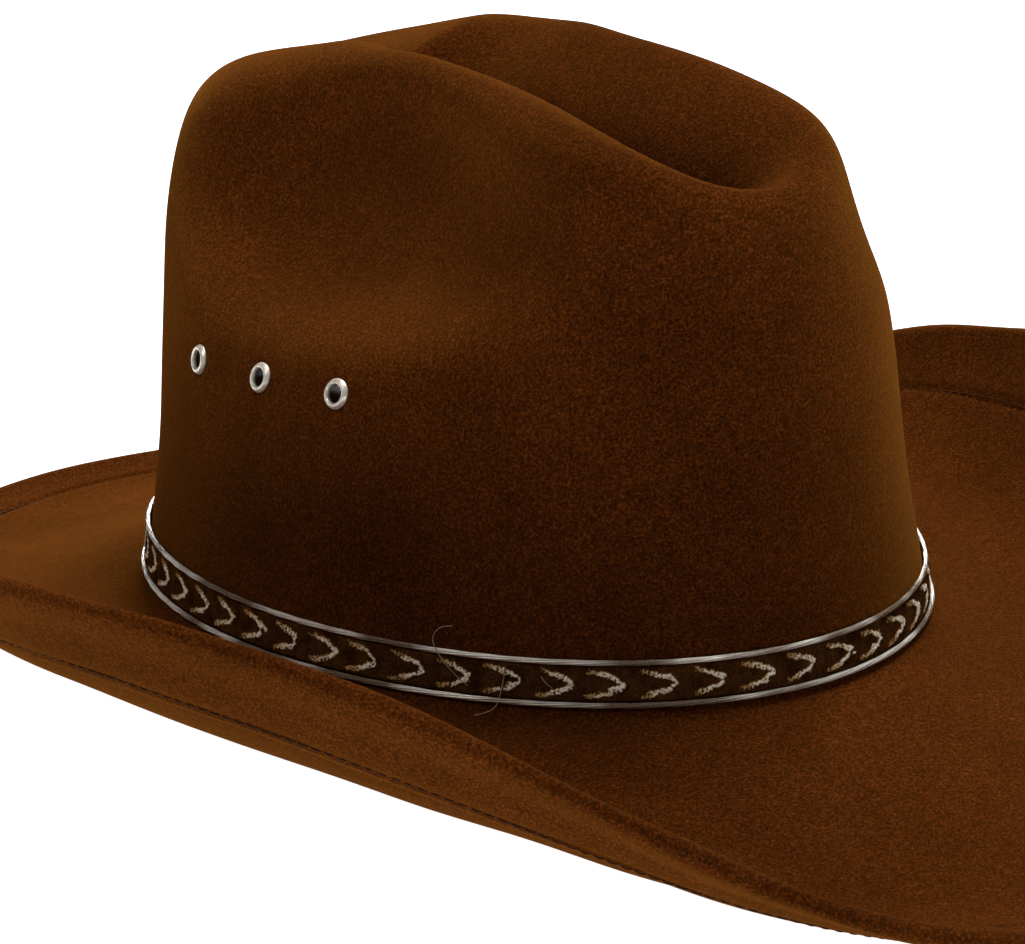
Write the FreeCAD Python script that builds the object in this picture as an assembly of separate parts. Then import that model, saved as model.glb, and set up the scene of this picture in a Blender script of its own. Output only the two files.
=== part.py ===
import FreeCAD, Part

import math
import os

from FreeCAD import Vector

# A felt western hat, in millimetres. +Z is up, the front is -Y and the wearer's left is +X.
# The origin is on the surface the hat stands on, below the middle of the hat.
# Angles run round the crown: 0 is the left side, 90 the back, 180 the right side, 270 the front.

# ---- crown: an oval that rises from the break (the corner between crown and brim) ----
OVAL_HALF_LENGTH = 101.8      # half of the crown's outside length at the break
OVAL_HALF_WIDTH = 84.9        # half of its outside width
BREAK_Z = 27.82               # mean height of the break above the rest surface
BREAK_SADDLE = 0.8            # the break is this much higher at the sides and lower at the ends
BREAK_TILT = -2.0             # and this much higher at the back, so a negative value is a fall
CROWN_Y = 0.84                # where the crown's middle lies between the brim's two ends
CROWN_RISE = 120.1            # from the mean break to the top of the crown, before creasing
TOP_SLOPE = -0.077            # rise of the top for each millimetre towards the back
TAPER_SIDE = 0.254            # how much of the oval the crown loses on its way up, at the sides
TAPER_FRONT = 0.095
TAPER_BACK = -0.103           # at the back the crown leans out instead
SHOULDER_SIDE = 4.8           # exponent of the profile's rounding: higher is squarer
SHOULDER_FRONT = 10.4
SHOULDER_BACK = 10.8
FLARE = 0.018                 # the oval is this much larger right at the break
FLARE_RISE = 20.0             # and settles to its own size over this height

# ---- crease along the top, and the two ridges beside it ----
CREASE_DEPTH = 36.2
CREASE_HALF_WIDTH = 17.4
CREASE_FRONT_Y = -77.0        # middle of the ramp at its front end
CREASE_FRONT_RAMP = 18.8
CREASE_BACK_Y = 34.1
CREASE_BACK_RAMP = 14.6
CREASE_START = 0.55           # it begins at this share of the crown's height
CREASE_FULL = 0.95            # and has its whole depth here
RIDGE_HEIGHT = 14.1
RIDGE_X = 24.1
RIDGE_HALF_WIDTH = 21.8
RIDGE_Y = 11.3
RIDGE_HALF_LENGTH = 60.4

# ---- dents in the two sides ----
DENT_DEPTH = 22.0
DENT_Y = 7.0
DENT_FRONT_LENGTH = 76.4      # from the middle of the dent to its edge, forwards
DENT_BACK_LENGTH = 56.8       # and backwards
DENT_RISE = 103.3             # height of the dent's middle over the mean break
DENT_LOW_HALF_HEIGHT = 25.0   # from the middle line down to the lower edge
DENT_HIGH_HALF_HEIGHT = 23.6  # and up to the upper edge
DENT_TILT = -0.02             # rise of the middle line per millimetre backwards
DENT_POWER = 3.2              # 2 is a soft hollow, more is a flatter bowl with a firmer edge
DENT_SAG = 0.35               # how much of its depth the felt is also pulled down
DENT_SHELF_X = 56.7           # that pull is strongest this far from the hat's middle
DENT_SHELF_WIDTH = 30.9       # and fades over this width
CENTRE_BLEND = 25.0           # the dent fades out this near the middle of the hat

# ---- brim ----
REACH_SIDE = 67.3             # from the break to the rim, seen from above
REACH_FRONT = 93.7
REACH_BACK = 91.9
REACH_DIAGONAL = -8.5
REACH_DIAGONAL_FRONT = -4.4
REACH_CORNER = -6.3           # towards the corners of the front and the back
LIFT_SIDE = 32.5              # from the break up to the rim
LIFT_FRONT = -23.5
LIFT_BACK = -18.1
LIFT_DIAGONAL = 1.9
LIFT_DIAGONAL_FRONT = 5.2
LIFT_CORNER = 5.6             # at the corners of the front
LIFT_FORWARD = 8.9            # the rolled sides are highest a little forward of the middle
LIFT_FORWARD_SHAPE = 2.6
SLOPE_SIDE = -0.7             # the straight part of the rise; the rest is the roll of the brim
ROLL_END = 12.9
ROLL_POWER = 4.53
ROLL_POWER_END = 0.91
CORNER = 3.5                  # size of the rounded corner at the break

# ---- felt, hem and wire ----
FELT = 1.6                    # thickness
FOLD_OUTER = 2.4              # outer radius of the fold round the wire
FOLD_TAPER = 4.0              # the fold closes to the hem's own thickness over this length
HEM = 9.6                     # width of the felt that is folded under
HEM_GAP = 0.3                 # between the hem's two layers
HEM_STITCH = 8.6              # stitching line, from the rim
WIRE_RADIUS = 0.5
WIRE_GAP = 0.6                # between the wire's two ends, inside the sleeve
WIRE_GAP_BOX = 3.0            # size of the cut that makes the gap, across the wire
SLEEVE_BORE = 0.58
SLEEVE_RADIUS = 0.71
SLEEVE_LENGTH = 6.0
THREAD_RADIUS = 0.2
THREAD_CLEAR = 0.06           # thread lies this far off the felt
GROOVE_DEPTH = 0.5            # the stitching pulls the felt in by this much
GROOVE_HALF_WIDTH = 0.8
GROOVE_STEP = 0.25            # between stations in the groove

# ---- hatband ----
BAND_TOP = 12.5               # over the break
BAND_BOTTOM = 1.8
BAND_CLEAR = 0.35             # off the crown
RIBBON_THICKNESS = 0.7
CORD_RADIUS = 0.65
CORD_CLEAR = 0.1
JOIN_ANGLE = 22.0             # the band's ends meet here, on the left side
JOIN_LENGTH = 11.0
JOIN_THICKNESS = 0.8
JOIN_CLEAR = 0.35             # off the ribbon's curved face
JOIN_ROUND = 0.2
TACK_ANGLES = (40.0, 128.0, 216.0, 223.3, 318.0)
TACK_OVERLAP = 0.9            # how far a tack reaches past the ribbon's edges, less the cords

# ---- sweatband ----
SWEAT_CLEAR = 0.3
SWEAT_THICKNESS = 0.9
SWEAT_BOTTOM = 0.6            # over the break
SWEAT_TOP = 28.6
SWEAT_STITCH = 2.6
BOW_LOOP_LENGTH = 9.0
BOW_LOOP_HEIGHT = 5.0
BOW_RIBBON = 4.0              # width of the bow's ribbon
BOW_THICKNESS = 0.5
BOW_KNOT = 3.4
BOW_KNOT_ROUND = 0.6
BOW_POINTS = 16               # points round a loop
BOW_CLEAR = 0.15
BOW_RISE = 14.0               # over the break

# ---- eyelets ----
EYELET_YS = (35.1, 6.4, -20.8)
EYELET_RISES = (59.0, 61.9, 64.2)  # over the mean break
EYELET_BORE = 2.2
EYELET_BARREL = 2.6
EYELET_FLANGE = 3.55
EYELET_DOME = 1.3             # height of the flange above the felt
EYELET_CLEAR = 0.12           # flange off the felt
HOLE_RADIUS = 2.85
PUNCH_LENGTH = 8.0
PUNCH_LEAN = 0.04             # the punch leans this much more than the eyelet
WASHER_BORE = 2.85
WASHER_RADIUS = 3.9
WASHER_THICKNESS = 0.4
WASHER_CLEAR = 0.45           # off the felt's curved inside
ROLL_RADIUS = 3.3             # the barrel's end is rolled out to this over the washer
ROLL_THICKNESS = 0.5
ROLL_CLEAR = 0.1              # between the washer and the rolled end
ROLL_ROUND = 0.15
DOME_EDGE = 0.25              # width of the dome's rounded inner and outer edges
DOME_CREST = 0.7              # the dome is highest this far out from the hole
DOME_EDGE_HEIGHT = 0.67       # height of those edges, as a share of the dome's

# ---- sampling ----
AROUND = 96                   # stations round the hat
CROWN_STEP = 2.5              # degrees of crown angle between stations
CROWN_STEPS = 33
CORNER_AHEAD = 1.0            # the last station above the rounded corner, in degrees
THREAD_SIDES = 6              # sides of a thread's section
CORD_SIDES = 12
WIRE_SIDES = 12
WALL_ANGLE_LIMIT = 40.0       # crown angle below which the band and the eyelets are looked for
DISC_ANGLE = 88.6             # the surface ends here, at a small flat disc in the crease


# ---------------------------------------------------------------- the hat's form

def smooth_step(low, high, value):
    """0 below low, 1 above high, and smooth between."""
    part = min(max((value - low) / (high - low), 0.0), 1.0)
    return part * part * (3.0 - 2.0 * part)


def bump(value, half_width):
    """A bell of height 1 round zero."""
    return math.exp(-(value / half_width) ** 2)


def by_side(t, side, front, back):
    """A value that is side at the two sides, front at the front and back at the back."""
    end = front if math.sin(t) < 0.0 else back
    return side * math.cos(t) ** 2 + end * math.sin(t) ** 2


def diagonal(t):
    """1 halfway between side and end, 0 at both."""
    return math.sin(2.0 * t) ** 2


def break_height(t):
    return BREAK_Z + BREAK_SADDLE * math.cos(2.0 * t) + BREAK_TILT * math.sin(t)


def dent_depth(y, z):
    """How deep the side dent is: an oval bowl with a flat bottom and a firm edge."""
    length = DENT_FRONT_LENGTH if y < DENT_Y else DENT_BACK_LENGTH
    over = z - BREAK_Z - DENT_RISE - DENT_TILT * (y - DENT_Y)
    height = DENT_LOW_HALF_HEIGHT if over < 0.0 else DENT_HIGH_HALF_HEIGHT
    out = math.hypot((y - DENT_Y) / length, over / height)
    return DENT_DEPTH * math.exp(-out ** DENT_POWER)


def crown_point(angle, t):
    """A point of the crown's outside: angle 0 is the break, 90 degrees the middle of the top."""
    power = by_side(t, SHOULDER_SIDE, SHOULDER_FRONT, SHOULDER_BACK)
    across = math.cos(math.radians(angle))
    up = math.sin(math.radians(angle))
    size = (across ** power + up ** power) ** (1.0 / power)
    across = across / size
    up = up / size
    taper = 1.0 - by_side(t, TAPER_SIDE, TAPER_FRONT, TAPER_BACK) * up
    size = across * taper * (1.0 + FLARE * math.exp(-up * CROWN_RISE / FLARE_RISE))
    x = OVAL_HALF_WIDTH * math.cos(t) * size
    y = OVAL_HALF_LENGTH * math.sin(t) * size
    ridge = RIDGE_HEIGHT * bump(y - RIDGE_Y, RIDGE_HALF_LENGTH)
    ridge = ridge * bump(abs(x) - RIDGE_X, RIDGE_HALF_WIDTH)
    top = BREAK_Z + CROWN_RISE + TOP_SLOPE * y + ridge
    z = break_height(t) * (1.0 - up) + top * up
    z = z - crease_depth(x, y) * smooth_step(CREASE_START, CREASE_FULL, up)
    dent = dent_depth(y, z)
    x = x - math.tanh(x / CENTRE_BLEND) * dent
    z = z - DENT_SAG * dent * bump(abs(x) - DENT_SHELF_X, DENT_SHELF_WIDTH)
    return Vector(x, y + CROWN_Y, z)


def crease_depth(x, y):
    front = smooth_step(CREASE_FRONT_Y - CREASE_FRONT_RAMP, CREASE_FRONT_Y + CREASE_FRONT_RAMP, y)
    back = smooth_step(CREASE_BACK_Y - CREASE_BACK_RAMP, CREASE_BACK_Y + CREASE_BACK_RAMP, y)
    return CREASE_DEPTH * bump(x, CREASE_HALF_WIDTH) * front * (1.0 - back)


def brim_direction(t):
    """The level direction in which the brim leaves the crown."""
    return Vector(math.cos(t) / OVAL_HALF_WIDTH, math.sin(t) / OVAL_HALF_LENGTH, 0.0).normalize()


def brim_corner(t):
    """Highest between the diagonal and the end."""
    return diagonal(t) * math.sin(t) ** 2


def brim_reach(t):
    reach = by_side(t, REACH_SIDE, REACH_FRONT, REACH_BACK) + REACH_CORNER * brim_corner(t)
    return reach + (REACH_DIAGONAL - REACH_DIAGONAL_FRONT * math.sin(t)) * diagonal(t)


def brim_point(out, t):
    """A point of the brim's top: out is 0 at the break and 1 at the rim."""
    lift = by_side(t, LIFT_SIDE, LIFT_FRONT, LIFT_BACK)
    lift = lift + (LIFT_DIAGONAL - LIFT_DIAGONAL_FRONT * math.sin(t)) * diagonal(t)
    lift = lift - LIFT_FORWARD * LIFT_FORWARD_SHAPE * math.sin(t) * math.cos(t) ** 2
    lift = lift + LIFT_CORNER * brim_corner(t) * (1.0 - math.sin(t)) / 2.0
    slope = by_side(t, SLOPE_SIDE, LIFT_FRONT - ROLL_END, LIFT_BACK - ROLL_END)
    power = ROLL_POWER + ROLL_POWER_END * math.sin(t) ** 2
    z = break_height(t) + slope * out + (lift - slope) * out ** power
    x = OVAL_HALF_WIDTH * (1.0 + FLARE) * math.cos(t)
    y = OVAL_HALF_LENGTH * (1.0 + FLARE) * math.sin(t) + CROWN_Y
    return Vector(x, y, z) + brim_direction(t) * (brim_reach(t) * out)


def corner_angle(t):
    """The crown angle at which the rounded corner at the break begins."""
    return angle_at_rise(CORNER, t)


def corner_out(t):
    return CORNER / brim_reach(t)


def corner_point(part, t):
    """The rounded corner between crown (part 0) and brim (part 1)."""
    start = crown_point(corner_angle(t), t)
    tip = crown_point(0.0, t)
    end = brim_point(corner_out(t), t)
    near = 1.0 - part
    return start * near ** 2 + tip * (2.0 * part * near) + end * part ** 2


def angle_at_rise(rise, t):
    """The crown angle at which the wall stands this high over the break."""
    low = 0.0
    high = WALL_ANGLE_LIMIT
    for _ in range(30):
        middle = (low + high) / 2.0
        if crown_point(middle, t).z - break_height(t) < rise:
            low = middle
        else:
            high = middle
    return low


def outward(place, value, t):
    """The unit normal of the felt's outside or top at place(value, t)."""
    step = 1e-3
    along = place(value + step, t) - place(value - step, t)
    around = place(value, t + step) - place(value, t - step)
    # the crown's angle runs inwards, and the corner and the brim run outwards
    if place is crown_point:
        return around.cross(along).normalize()
    return along.cross(around).normalize()


def wall_point(rise, t, off):
    """A point this high over the break and this far off the crown's outside."""
    angle = angle_at_rise(rise, t)
    flat = outward(crown_point, angle, t)
    flat = Vector(flat.x, flat.y, 0.0).normalize()
    return crown_point(angle, t) + flat * off


def brim_off(back, t, off):
    """A point this far in from the rim, and this far above the brim's top."""
    out = 1.0 - back / brim_reach(t)
    return brim_point(out, t) + outward(brim_point, out, t) * off


# ---------------------------------------------------------------- solids from rings of points

def angles():
    return [2.0 * math.pi * i / AROUND for i in range(AROUND)]


def knots(count, closed):
    """Knots and multiplicities of a cubic spline with this many poles."""
    if closed:
        return list(range(count + 1)), [1] * (count + 1)
    inner = count - 4
    return list(range(inner + 2)), [4] + [1] * inner + [4]


def sharpened(points, closed):
    """Poles of a cubic spline that passes through the points, instead of cutting inside them."""
    poles = list(points)
    count = len(points)
    for i in range(0 if closed else 2, count if closed else count - 2):
        bend = points[i - 1] - points[i] * 2.0 + points[(i + 1) % count]
        poles[i] = points[i] - bend * (1.0 / 6.0)
    return poles


def ring_surface(rows):
    """A smooth surface through rows of points; each row is a closed ring."""
    columns = [sharpened(list(column), False) for column in zip(*rows)]
    rows = [sharpened(list(row), True) for row in zip(*columns)]
    row_knots, row_mults = knots(len(rows), False)
    ring_knots, ring_mults = knots(len(rows[0]), True)
    surface = Part.BSplineSurface()
    surface.buildFromPolesMultsKnots(
        rows, row_mults, ring_mults, row_knots, ring_knots, False, True, 3, 3
    )
    return surface


def ruled_face(first, second):
    """The straight strip between two rings of points."""
    first = sharpened(first, True)
    second = sharpened(second, True)
    ring_knots, ring_mults = knots(len(first), True)
    surface = Part.BSplineSurface()
    surface.buildFromPolesMultsKnots(
        [first, second], [2, 2], ring_mults, [0, 1], ring_knots, False, True, 1, 3
    )
    return surface.toShape()


def end_edge(surface, last):
    """The closed edge at the first or last row of a surface."""
    first_u, last_u, _, _ = surface.bounds()
    return surface.uIso(last_u if last else first_u).toShape()


def closed_solid(faces):
    shell = Part.makeShell(faces)
    shell.sewShape()
    solid = Part.makeSolid(shell)
    if solid.Volume < 0.0:
        solid.reverse()
    return solid


def flat_cap(edge):
    return Part.Face(Part.Wire([edge]))


def ring_solid(corner_rings):
    """A closed ring whose section is a polygon; each corner is given as a ring of points."""
    pairs = zip(corner_rings, corner_rings[1:] + corner_rings[:1])
    return closed_solid([ruled_face(first, second) for first, second in pairs])


def section_ring(centre, direction, radius, sides):
    """Corners of a many-sided section across direction."""
    side = direction.cross(Vector(0.0, 0.0, 1.0)).normalize()
    up = side.cross(direction).normalize()
    turn = [2.0 * math.pi * i / sides for i in range(sides)]
    return [centre + side * (radius * math.cos(a)) + up * (radius * math.sin(a)) for a in turn]


def directions(centres):
    """The way a closed line runs at each of its points."""
    count = len(centres)
    return [(centres[(i + 1) % count] - centres[i - 1]).normalize() for i in range(count)]


def closed_tube(centres, radius, sides):
    """A thread, cord or wire along a closed line of centres; its section has this many sides."""
    heading = directions(centres)
    rows = [section_ring(c, d, radius, sides) for c, d in zip(centres, heading)]
    return ring_solid([list(corner) for corner in zip(*rows)])


def turned(outline, origin, axis):
    """A solid turned from an outline of (radius, distance along the axis) points."""
    points = [Vector(radius, 0.0, along) for radius, along in outline]
    wire = Part.makePolygon(points + [points[0]])
    solid = Part.Face(wire).revolve(Vector(0, 0, 0), Vector(0, 0, 1), 360)
    solid.Placement = FreeCAD.Placement(origin, FreeCAD.Rotation(Vector(0, 0, 1), axis))
    return solid


# ---------------------------------------------------------------- felt

def hem_depth(back):
    """How far the hem's underside lies below the brim's top, this far in from the rim."""
    closed = 2.0 * FELT + HEM_GAP
    part = smooth_step(0.0, FOLD_TAPER, back)
    return 2.0 * FOLD_OUTER * (1.0 - part) + closed * part


BACK = math.pi / 2.0
SLEEVE_HALF_ANGLE = SLEEVE_LENGTH / 2.0 / (OVAL_HALF_LENGTH + REACH_BACK)


def groove(back):
    """How deep the stitching's groove is, this far in from the rim."""
    return GROOVE_DEPTH * bump(back - HEM_STITCH, GROOVE_HALF_WIDTH)


def fold_centre(t):
    return brim_point(1.0, t) - outward(brim_point, 1.0, t) * FOLD_OUTER


def fold_point(turn, t, radius):
    """A point of the fold round the wire: turn 0 is on top and 180 below."""
    up = outward(brim_point, 1.0, t)
    around = brim_point(1.0, t + 1e-3) - brim_point(1.0, t - 1e-3)
    out = around.cross(up).normalize()
    angle = math.radians(turn)
    return fold_centre(t) + up * (radius * math.cos(angle)) + out * (radius * math.sin(angle))


CROWN_STATIONS = [DISC_ANGLE, 87.2] + [85.0 - CROWN_STEP * i for i in range(CROWN_STEPS)]
CORNER_STATIONS = [0.25, 0.5, 0.75]
BRIM_STATIONS = [0.1, 0.2, 0.3, 0.4, 0.5, 0.6, 0.7, 0.78, 0.85]
GROOVE_STATIONS = [HEM_STITCH + GROOVE_STEP * i for i in (3, 2, 1, 0, -1, -2, -3)]
HEM_STATIONS = [HEM] + GROOVE_STATIONS + [HEM * 0.7, HEM * 0.5, HEM * 0.3, HEM * 0.08]
FOLD_STATIONS = [0.0, 30.0, 60.0, 90.0, 120.0, 150.0, 180.0]


def felt_rows(depth, fold_radius):
    """Rings of points over one skin of the felt, from the middle of the crown out to the fold."""
    grooved = 1.0 if depth == 0.0 else 0.0

    def skin(place, value, t):
        return place(value, t) - outward(place, value, t) * depth

    top = crown_point(90.0, 0.0).z - depth
    rows = [[level(crown_point(DISC_ANGLE, t), top) for t in angles()]]
    for station in CROWN_STATIONS[1:]:
        rows.append([skin(crown_point, station, t) for t in angles()])
    rows.append([skin(crown_point, corner_angle(t) + CORNER_AHEAD, t) for t in angles()])
    for part in CORNER_STATIONS:
        rows.append([skin(corner_point, part, t) for t in angles()])
    for station in BRIM_STATIONS:
        rows.append([skin(brim_point, station, t) for t in angles()])
    for back in HEM_STATIONS:
        off = -depth - grooved * groove(back)
        rows.append([brim_off(back, t, off) for t in angles()])
    for turn in FOLD_STATIONS:
        rows.append([fold_point(turn, t, fold_radius) for t in angles()])
    for back in reversed(HEM_STATIONS):
        off = depth - hem_depth(back) + grooved * groove(back)
        rows.append([brim_off(back, t, off) for t in angles()])
    return rows


def level(point, z):
    return Vector(point.x, point.y, z)


def felt_blank():
    """Crown and brim as one sheet of felt, folded under at the rim, before its holes are cut."""
    outer_rows = felt_rows(0.0, FOLD_OUTER)
    inner_rows = felt_rows(FELT, FOLD_OUTER - FELT)
    raw_edge = ruled_face(outer_rows[-1], inner_rows[-1])
    outside = ring_surface(outer_rows)
    inside = ring_surface(inner_rows)
    caps = [flat_cap(end_edge(outside, False)), flat_cap(end_edge(inside, False))]
    return closed_solid([outside.toShape(), inside.toShape(), raw_edge] + caps)


def felt_body():
    """The felt with its six eyelet holes, each punched a little steeper than its eyelet sits."""
    felt = felt_blank()
    for _, origin, axis in eyelet_spots():
        punch = (axis + Vector(0.0, 0.0, PUNCH_LEAN)).normalize()
        start = origin - punch * (PUNCH_LENGTH / 2.0)
        felt = felt.cut(Part.makeCylinder(HOLE_RADIUS, PUNCH_LENGTH, start, punch))
    return felt.Solids[0]


# ---------------------------------------------------------------- hem: wire, sleeve and thread

def brim_wire():
    """One steel wire round the rim, with a small gap between its two ends at the back."""
    ring = closed_tube([fold_centre(t) for t in angles()], WIRE_RADIUS, WIRE_SIDES)
    gap = Part.makeBox(WIRE_GAP, WIRE_GAP_BOX, WIRE_GAP_BOX)
    gap.translate(fold_centre(BACK) - Vector(WIRE_GAP, WIRE_GAP_BOX, WIRE_GAP_BOX) * 0.5)
    return ring.cut(gap).Solids[0]


def brim_wire_sleeve():
    """The short crimped tube that holds the wire's two ends."""
    middle = fold_centre(BACK)
    end = (fold_centre(BACK + SLEEVE_HALF_ANGLE) + fold_centre(BACK - SLEEVE_HALF_ANGLE)) * 0.5
    centre = (middle + end) * 0.5 - Vector(SLEEVE_LENGTH / 2.0, 0.0, 0.0)
    tube = Part.makeCylinder(SLEEVE_RADIUS, SLEEVE_LENGTH, centre, Vector(1, 0, 0))
    return tube.cut(Part.makeCylinder(SLEEVE_BORE, SLEEVE_LENGTH, centre, Vector(1, 0, 0)))


def hem_stitch_top():
    height = THREAD_RADIUS + THREAD_CLEAR - GROOVE_DEPTH
    line = [brim_off(HEM_STITCH, t, height) for t in angles()]
    return closed_tube(line, THREAD_RADIUS, THREAD_SIDES)


def hem_stitch_under():
    depth = hem_depth(HEM_STITCH) + THREAD_RADIUS + THREAD_CLEAR - GROOVE_DEPTH
    line = [brim_off(HEM_STITCH, t, -depth) for t in angles()]
    return closed_tube(line, THREAD_RADIUS, THREAD_SIDES)


# ---------------------------------------------------------------- hatband

RIBBON_LOW = BAND_BOTTOM + 2.0 * CORD_RADIUS + CORD_CLEAR
RIBBON_HIGH = BAND_TOP - 2.0 * CORD_RADIUS - CORD_CLEAR
RIBBON_FACE = BAND_CLEAR + RIBBON_THICKNESS


def strip(low, high, inner, outer, turns):
    """Corner rings of a flat strip on the wall."""
    corners = ((low, inner), (high, inner), (high, outer), (low, outer))
    return [[wall_point(rise, t, off) for t in turns] for rise, off in corners]


def hatband_ribbon():
    return ring_solid(strip(RIBBON_LOW, RIBBON_HIGH, BAND_CLEAR, RIBBON_FACE, angles()))


def hatband_cord(rise):
    off = BAND_CLEAR + CORD_RADIUS
    return closed_tube([wall_point(rise, t, off) for t in angles()], CORD_RADIUS, CORD_SIDES)


def hatband_join_tab():
    """The ribbon's end, folded over the place where the band's two ends meet."""
    t = math.radians(JOIN_ANGLE)
    inner = RIBBON_FACE + JOIN_CLEAR
    low = wall_point(RIBBON_LOW, t, inner)
    up = (wall_point(RIBBON_HIGH, t, inner) - low).normalize()
    along = (wall_point(RIBBON_LOW, t + 1e-3, inner) - low).normalize()
    tab = Part.makeBox(JOIN_LENGTH, JOIN_THICKNESS, RIBBON_HIGH - RIBBON_LOW)
    tab = tab.makeFillet(JOIN_ROUND, tab.Edges)
    tab.translate(Vector(-JOIN_LENGTH / 2.0, -JOIN_THICKNESS, 0.0))
    turn = FreeCAD.Rotation(along, along.cross(up), up, "XZY")
    tab.Placement = FreeCAD.Placement(low, turn).multiply(tab.Placement)
    return tab


def hatband_tacks():
    """Short upright stitches that hold the band to the felt."""
    tacks = []
    off = RIBBON_FACE + THREAD_RADIUS + THREAD_CLEAR
    low = RIBBON_LOW + TACK_OVERLAP
    high = RIBBON_HIGH - TACK_OVERLAP
    for angle in TACK_ANGLES:
        t = math.radians(angle)
        foot = wall_point(low, t, off)
        tacks.append(Part.makeCylinder(THREAD_RADIUS, high - low, foot, Vector(0, 0, 1)))
    return Part.makeCompound(tacks)


# ---------------------------------------------------------------- sweatband

SWEAT_FACE = FELT + SWEAT_CLEAR + SWEAT_THICKNESS


def sweatband():
    corners = strip(SWEAT_BOTTOM, SWEAT_TOP, -SWEAT_FACE, -FELT - SWEAT_CLEAR, angles())
    return ring_solid(corners)


def sweatband_stitch():
    off = SWEAT_FACE + THREAD_RADIUS + THREAD_CLEAR
    line = [wall_point(SWEAT_STITCH, t, -off) for t in angles()]
    return closed_tube(line, THREAD_RADIUS, THREAD_SIDES)


def bow_loop(centre, side):
    """One flattened loop of the bow, lying along the sweatband."""
    turn = [2.0 * math.pi * i / BOW_POINTS for i in range(BOW_POINTS)]
    middle = centre + Vector(side * (BOW_KNOT / 2.0 + BOW_CLEAR + BOW_LOOP_LENGTH / 2.0), 0, 0)

    def ring(depth, inset):
        long = BOW_LOOP_LENGTH / 2.0 - inset
        high = BOW_LOOP_HEIGHT / 2.0 - inset
        shift = Vector(0.0, depth, 0.0)
        return [middle + shift + Vector(long * math.cos(a), 0, high * math.sin(a)) for a in turn]

    front = -BOW_RIBBON / 2.0
    back = BOW_RIBBON / 2.0
    return ring_solid(
        [ring(front, 0.0), ring(back, 0.0), ring(back, BOW_THICKNESS), ring(front, BOW_THICKNESS)]
    )


def sweatband_bow():
    """The small bow on the inside of the sweatband at the back: two loops and a knot."""
    off = SWEAT_FACE + BOW_RIBBON
    centre = wall_point(BOW_RISE, math.radians(90.0), -off)
    corner = centre - Vector(BOW_KNOT, BOW_RIBBON, BOW_KNOT) * 0.5
    knot = Part.makeBox(BOW_KNOT, BOW_RIBBON, BOW_KNOT, corner)
    knot = knot.makeFillet(BOW_KNOT_ROUND, knot.Edges)
    return Part.makeCompound([knot, bow_loop(centre, 1.0), bow_loop(centre, -1.0)])


# ---------------------------------------------------------------- eyelets

def eyelet_spot(y, rise, side):
    """Centre on the felt's outside, and outward axis, of one eyelet; side is 1 for the left."""
    t = math.pi - math.asin(y / OVAL_HALF_LENGTH)
    for _ in range(40):
        angle = angle_at_rise(rise + BREAK_Z - break_height(t), t)
        t = t + (crown_point(angle, t).y - CROWN_Y - y) / OVAL_HALF_LENGTH
    origin = crown_point(angle, t)
    axis = outward(crown_point, angle, t)
    mirror = -side
    return Vector(origin.x * mirror, origin.y, origin.z), Vector(axis.x * mirror, axis.y, axis.z)


def eyelet_spots():
    found = []
    for name, side in (("left", 1.0), ("right", -1.0)):
        for number, (y, rise) in enumerate(zip(EYELET_YS, EYELET_RISES)):
            origin, axis = eyelet_spot(y, rise, side)
            found.append((f"{name}_{number + 1}", origin, axis))
    return found


ROLL_TOP = -FELT - WASHER_CLEAR - WASHER_THICKNESS - ROLL_CLEAR
ROLL_END_Z = ROLL_TOP - ROLL_THICKNESS


def eyelet(origin, axis):
    """A domed flange outside, a barrel through the felt, and its end rolled over the washer."""
    dome = EYELET_DOME
    edge = EYELET_FLANGE
    outline = [
        (EYELET_BORE, dome * DOME_EDGE_HEIGHT),
        (EYELET_BORE + DOME_EDGE, dome),
        (EYELET_BORE + DOME_CREST, dome),
        (edge - DOME_EDGE, dome * DOME_EDGE_HEIGHT),
        (edge, EYELET_CLEAR),
        (EYELET_BARREL, EYELET_CLEAR),
        (EYELET_BARREL, ROLL_TOP),
        (ROLL_RADIUS, ROLL_TOP),
        (ROLL_RADIUS, ROLL_END_Z + ROLL_ROUND),
        (ROLL_RADIUS - ROLL_ROUND, ROLL_END_Z),
        (EYELET_BORE, ROLL_END_Z),
    ]
    return turned(outline, origin, axis)


def eyelet_washer(origin, axis):
    near = -FELT - WASHER_CLEAR
    far = near - WASHER_THICKNESS
    outline = [
        (WASHER_BORE, near),
        (WASHER_RADIUS, near),
        (WASHER_RADIUS, far),
        (WASHER_BORE, far),
    ]
    return turned(outline, origin, axis)


# ---------------------------------------------------------------- output

def pieces():
    made = {
        "felt_body": felt_body(),
        "brim_wire": brim_wire(),
        "brim_wire_sleeve": brim_wire_sleeve(),
        "hem_stitch_top": hem_stitch_top(),
        "hem_stitch_under": hem_stitch_under(),
        "hatband_ribbon": hatband_ribbon(),
        "hatband_top_cord": hatband_cord(BAND_TOP - CORD_RADIUS),
        "hatband_bottom_cord": hatband_cord(BAND_BOTTOM + CORD_RADIUS),
        "hatband_join_tab": hatband_join_tab(),
        "hatband_tacks": hatband_tacks(),
        "sweatband": sweatband(),
        "sweatband_stitch": sweatband_stitch(),
        "sweatband_bow": sweatband_bow(),
    }
    for name, origin, axis in eyelet_spots():
        made[f"eyelet_{name}"] = eyelet(origin, axis)
        made[f"eyelet_washer_{name}"] = eyelet_washer(origin, axis)
    return made


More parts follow.
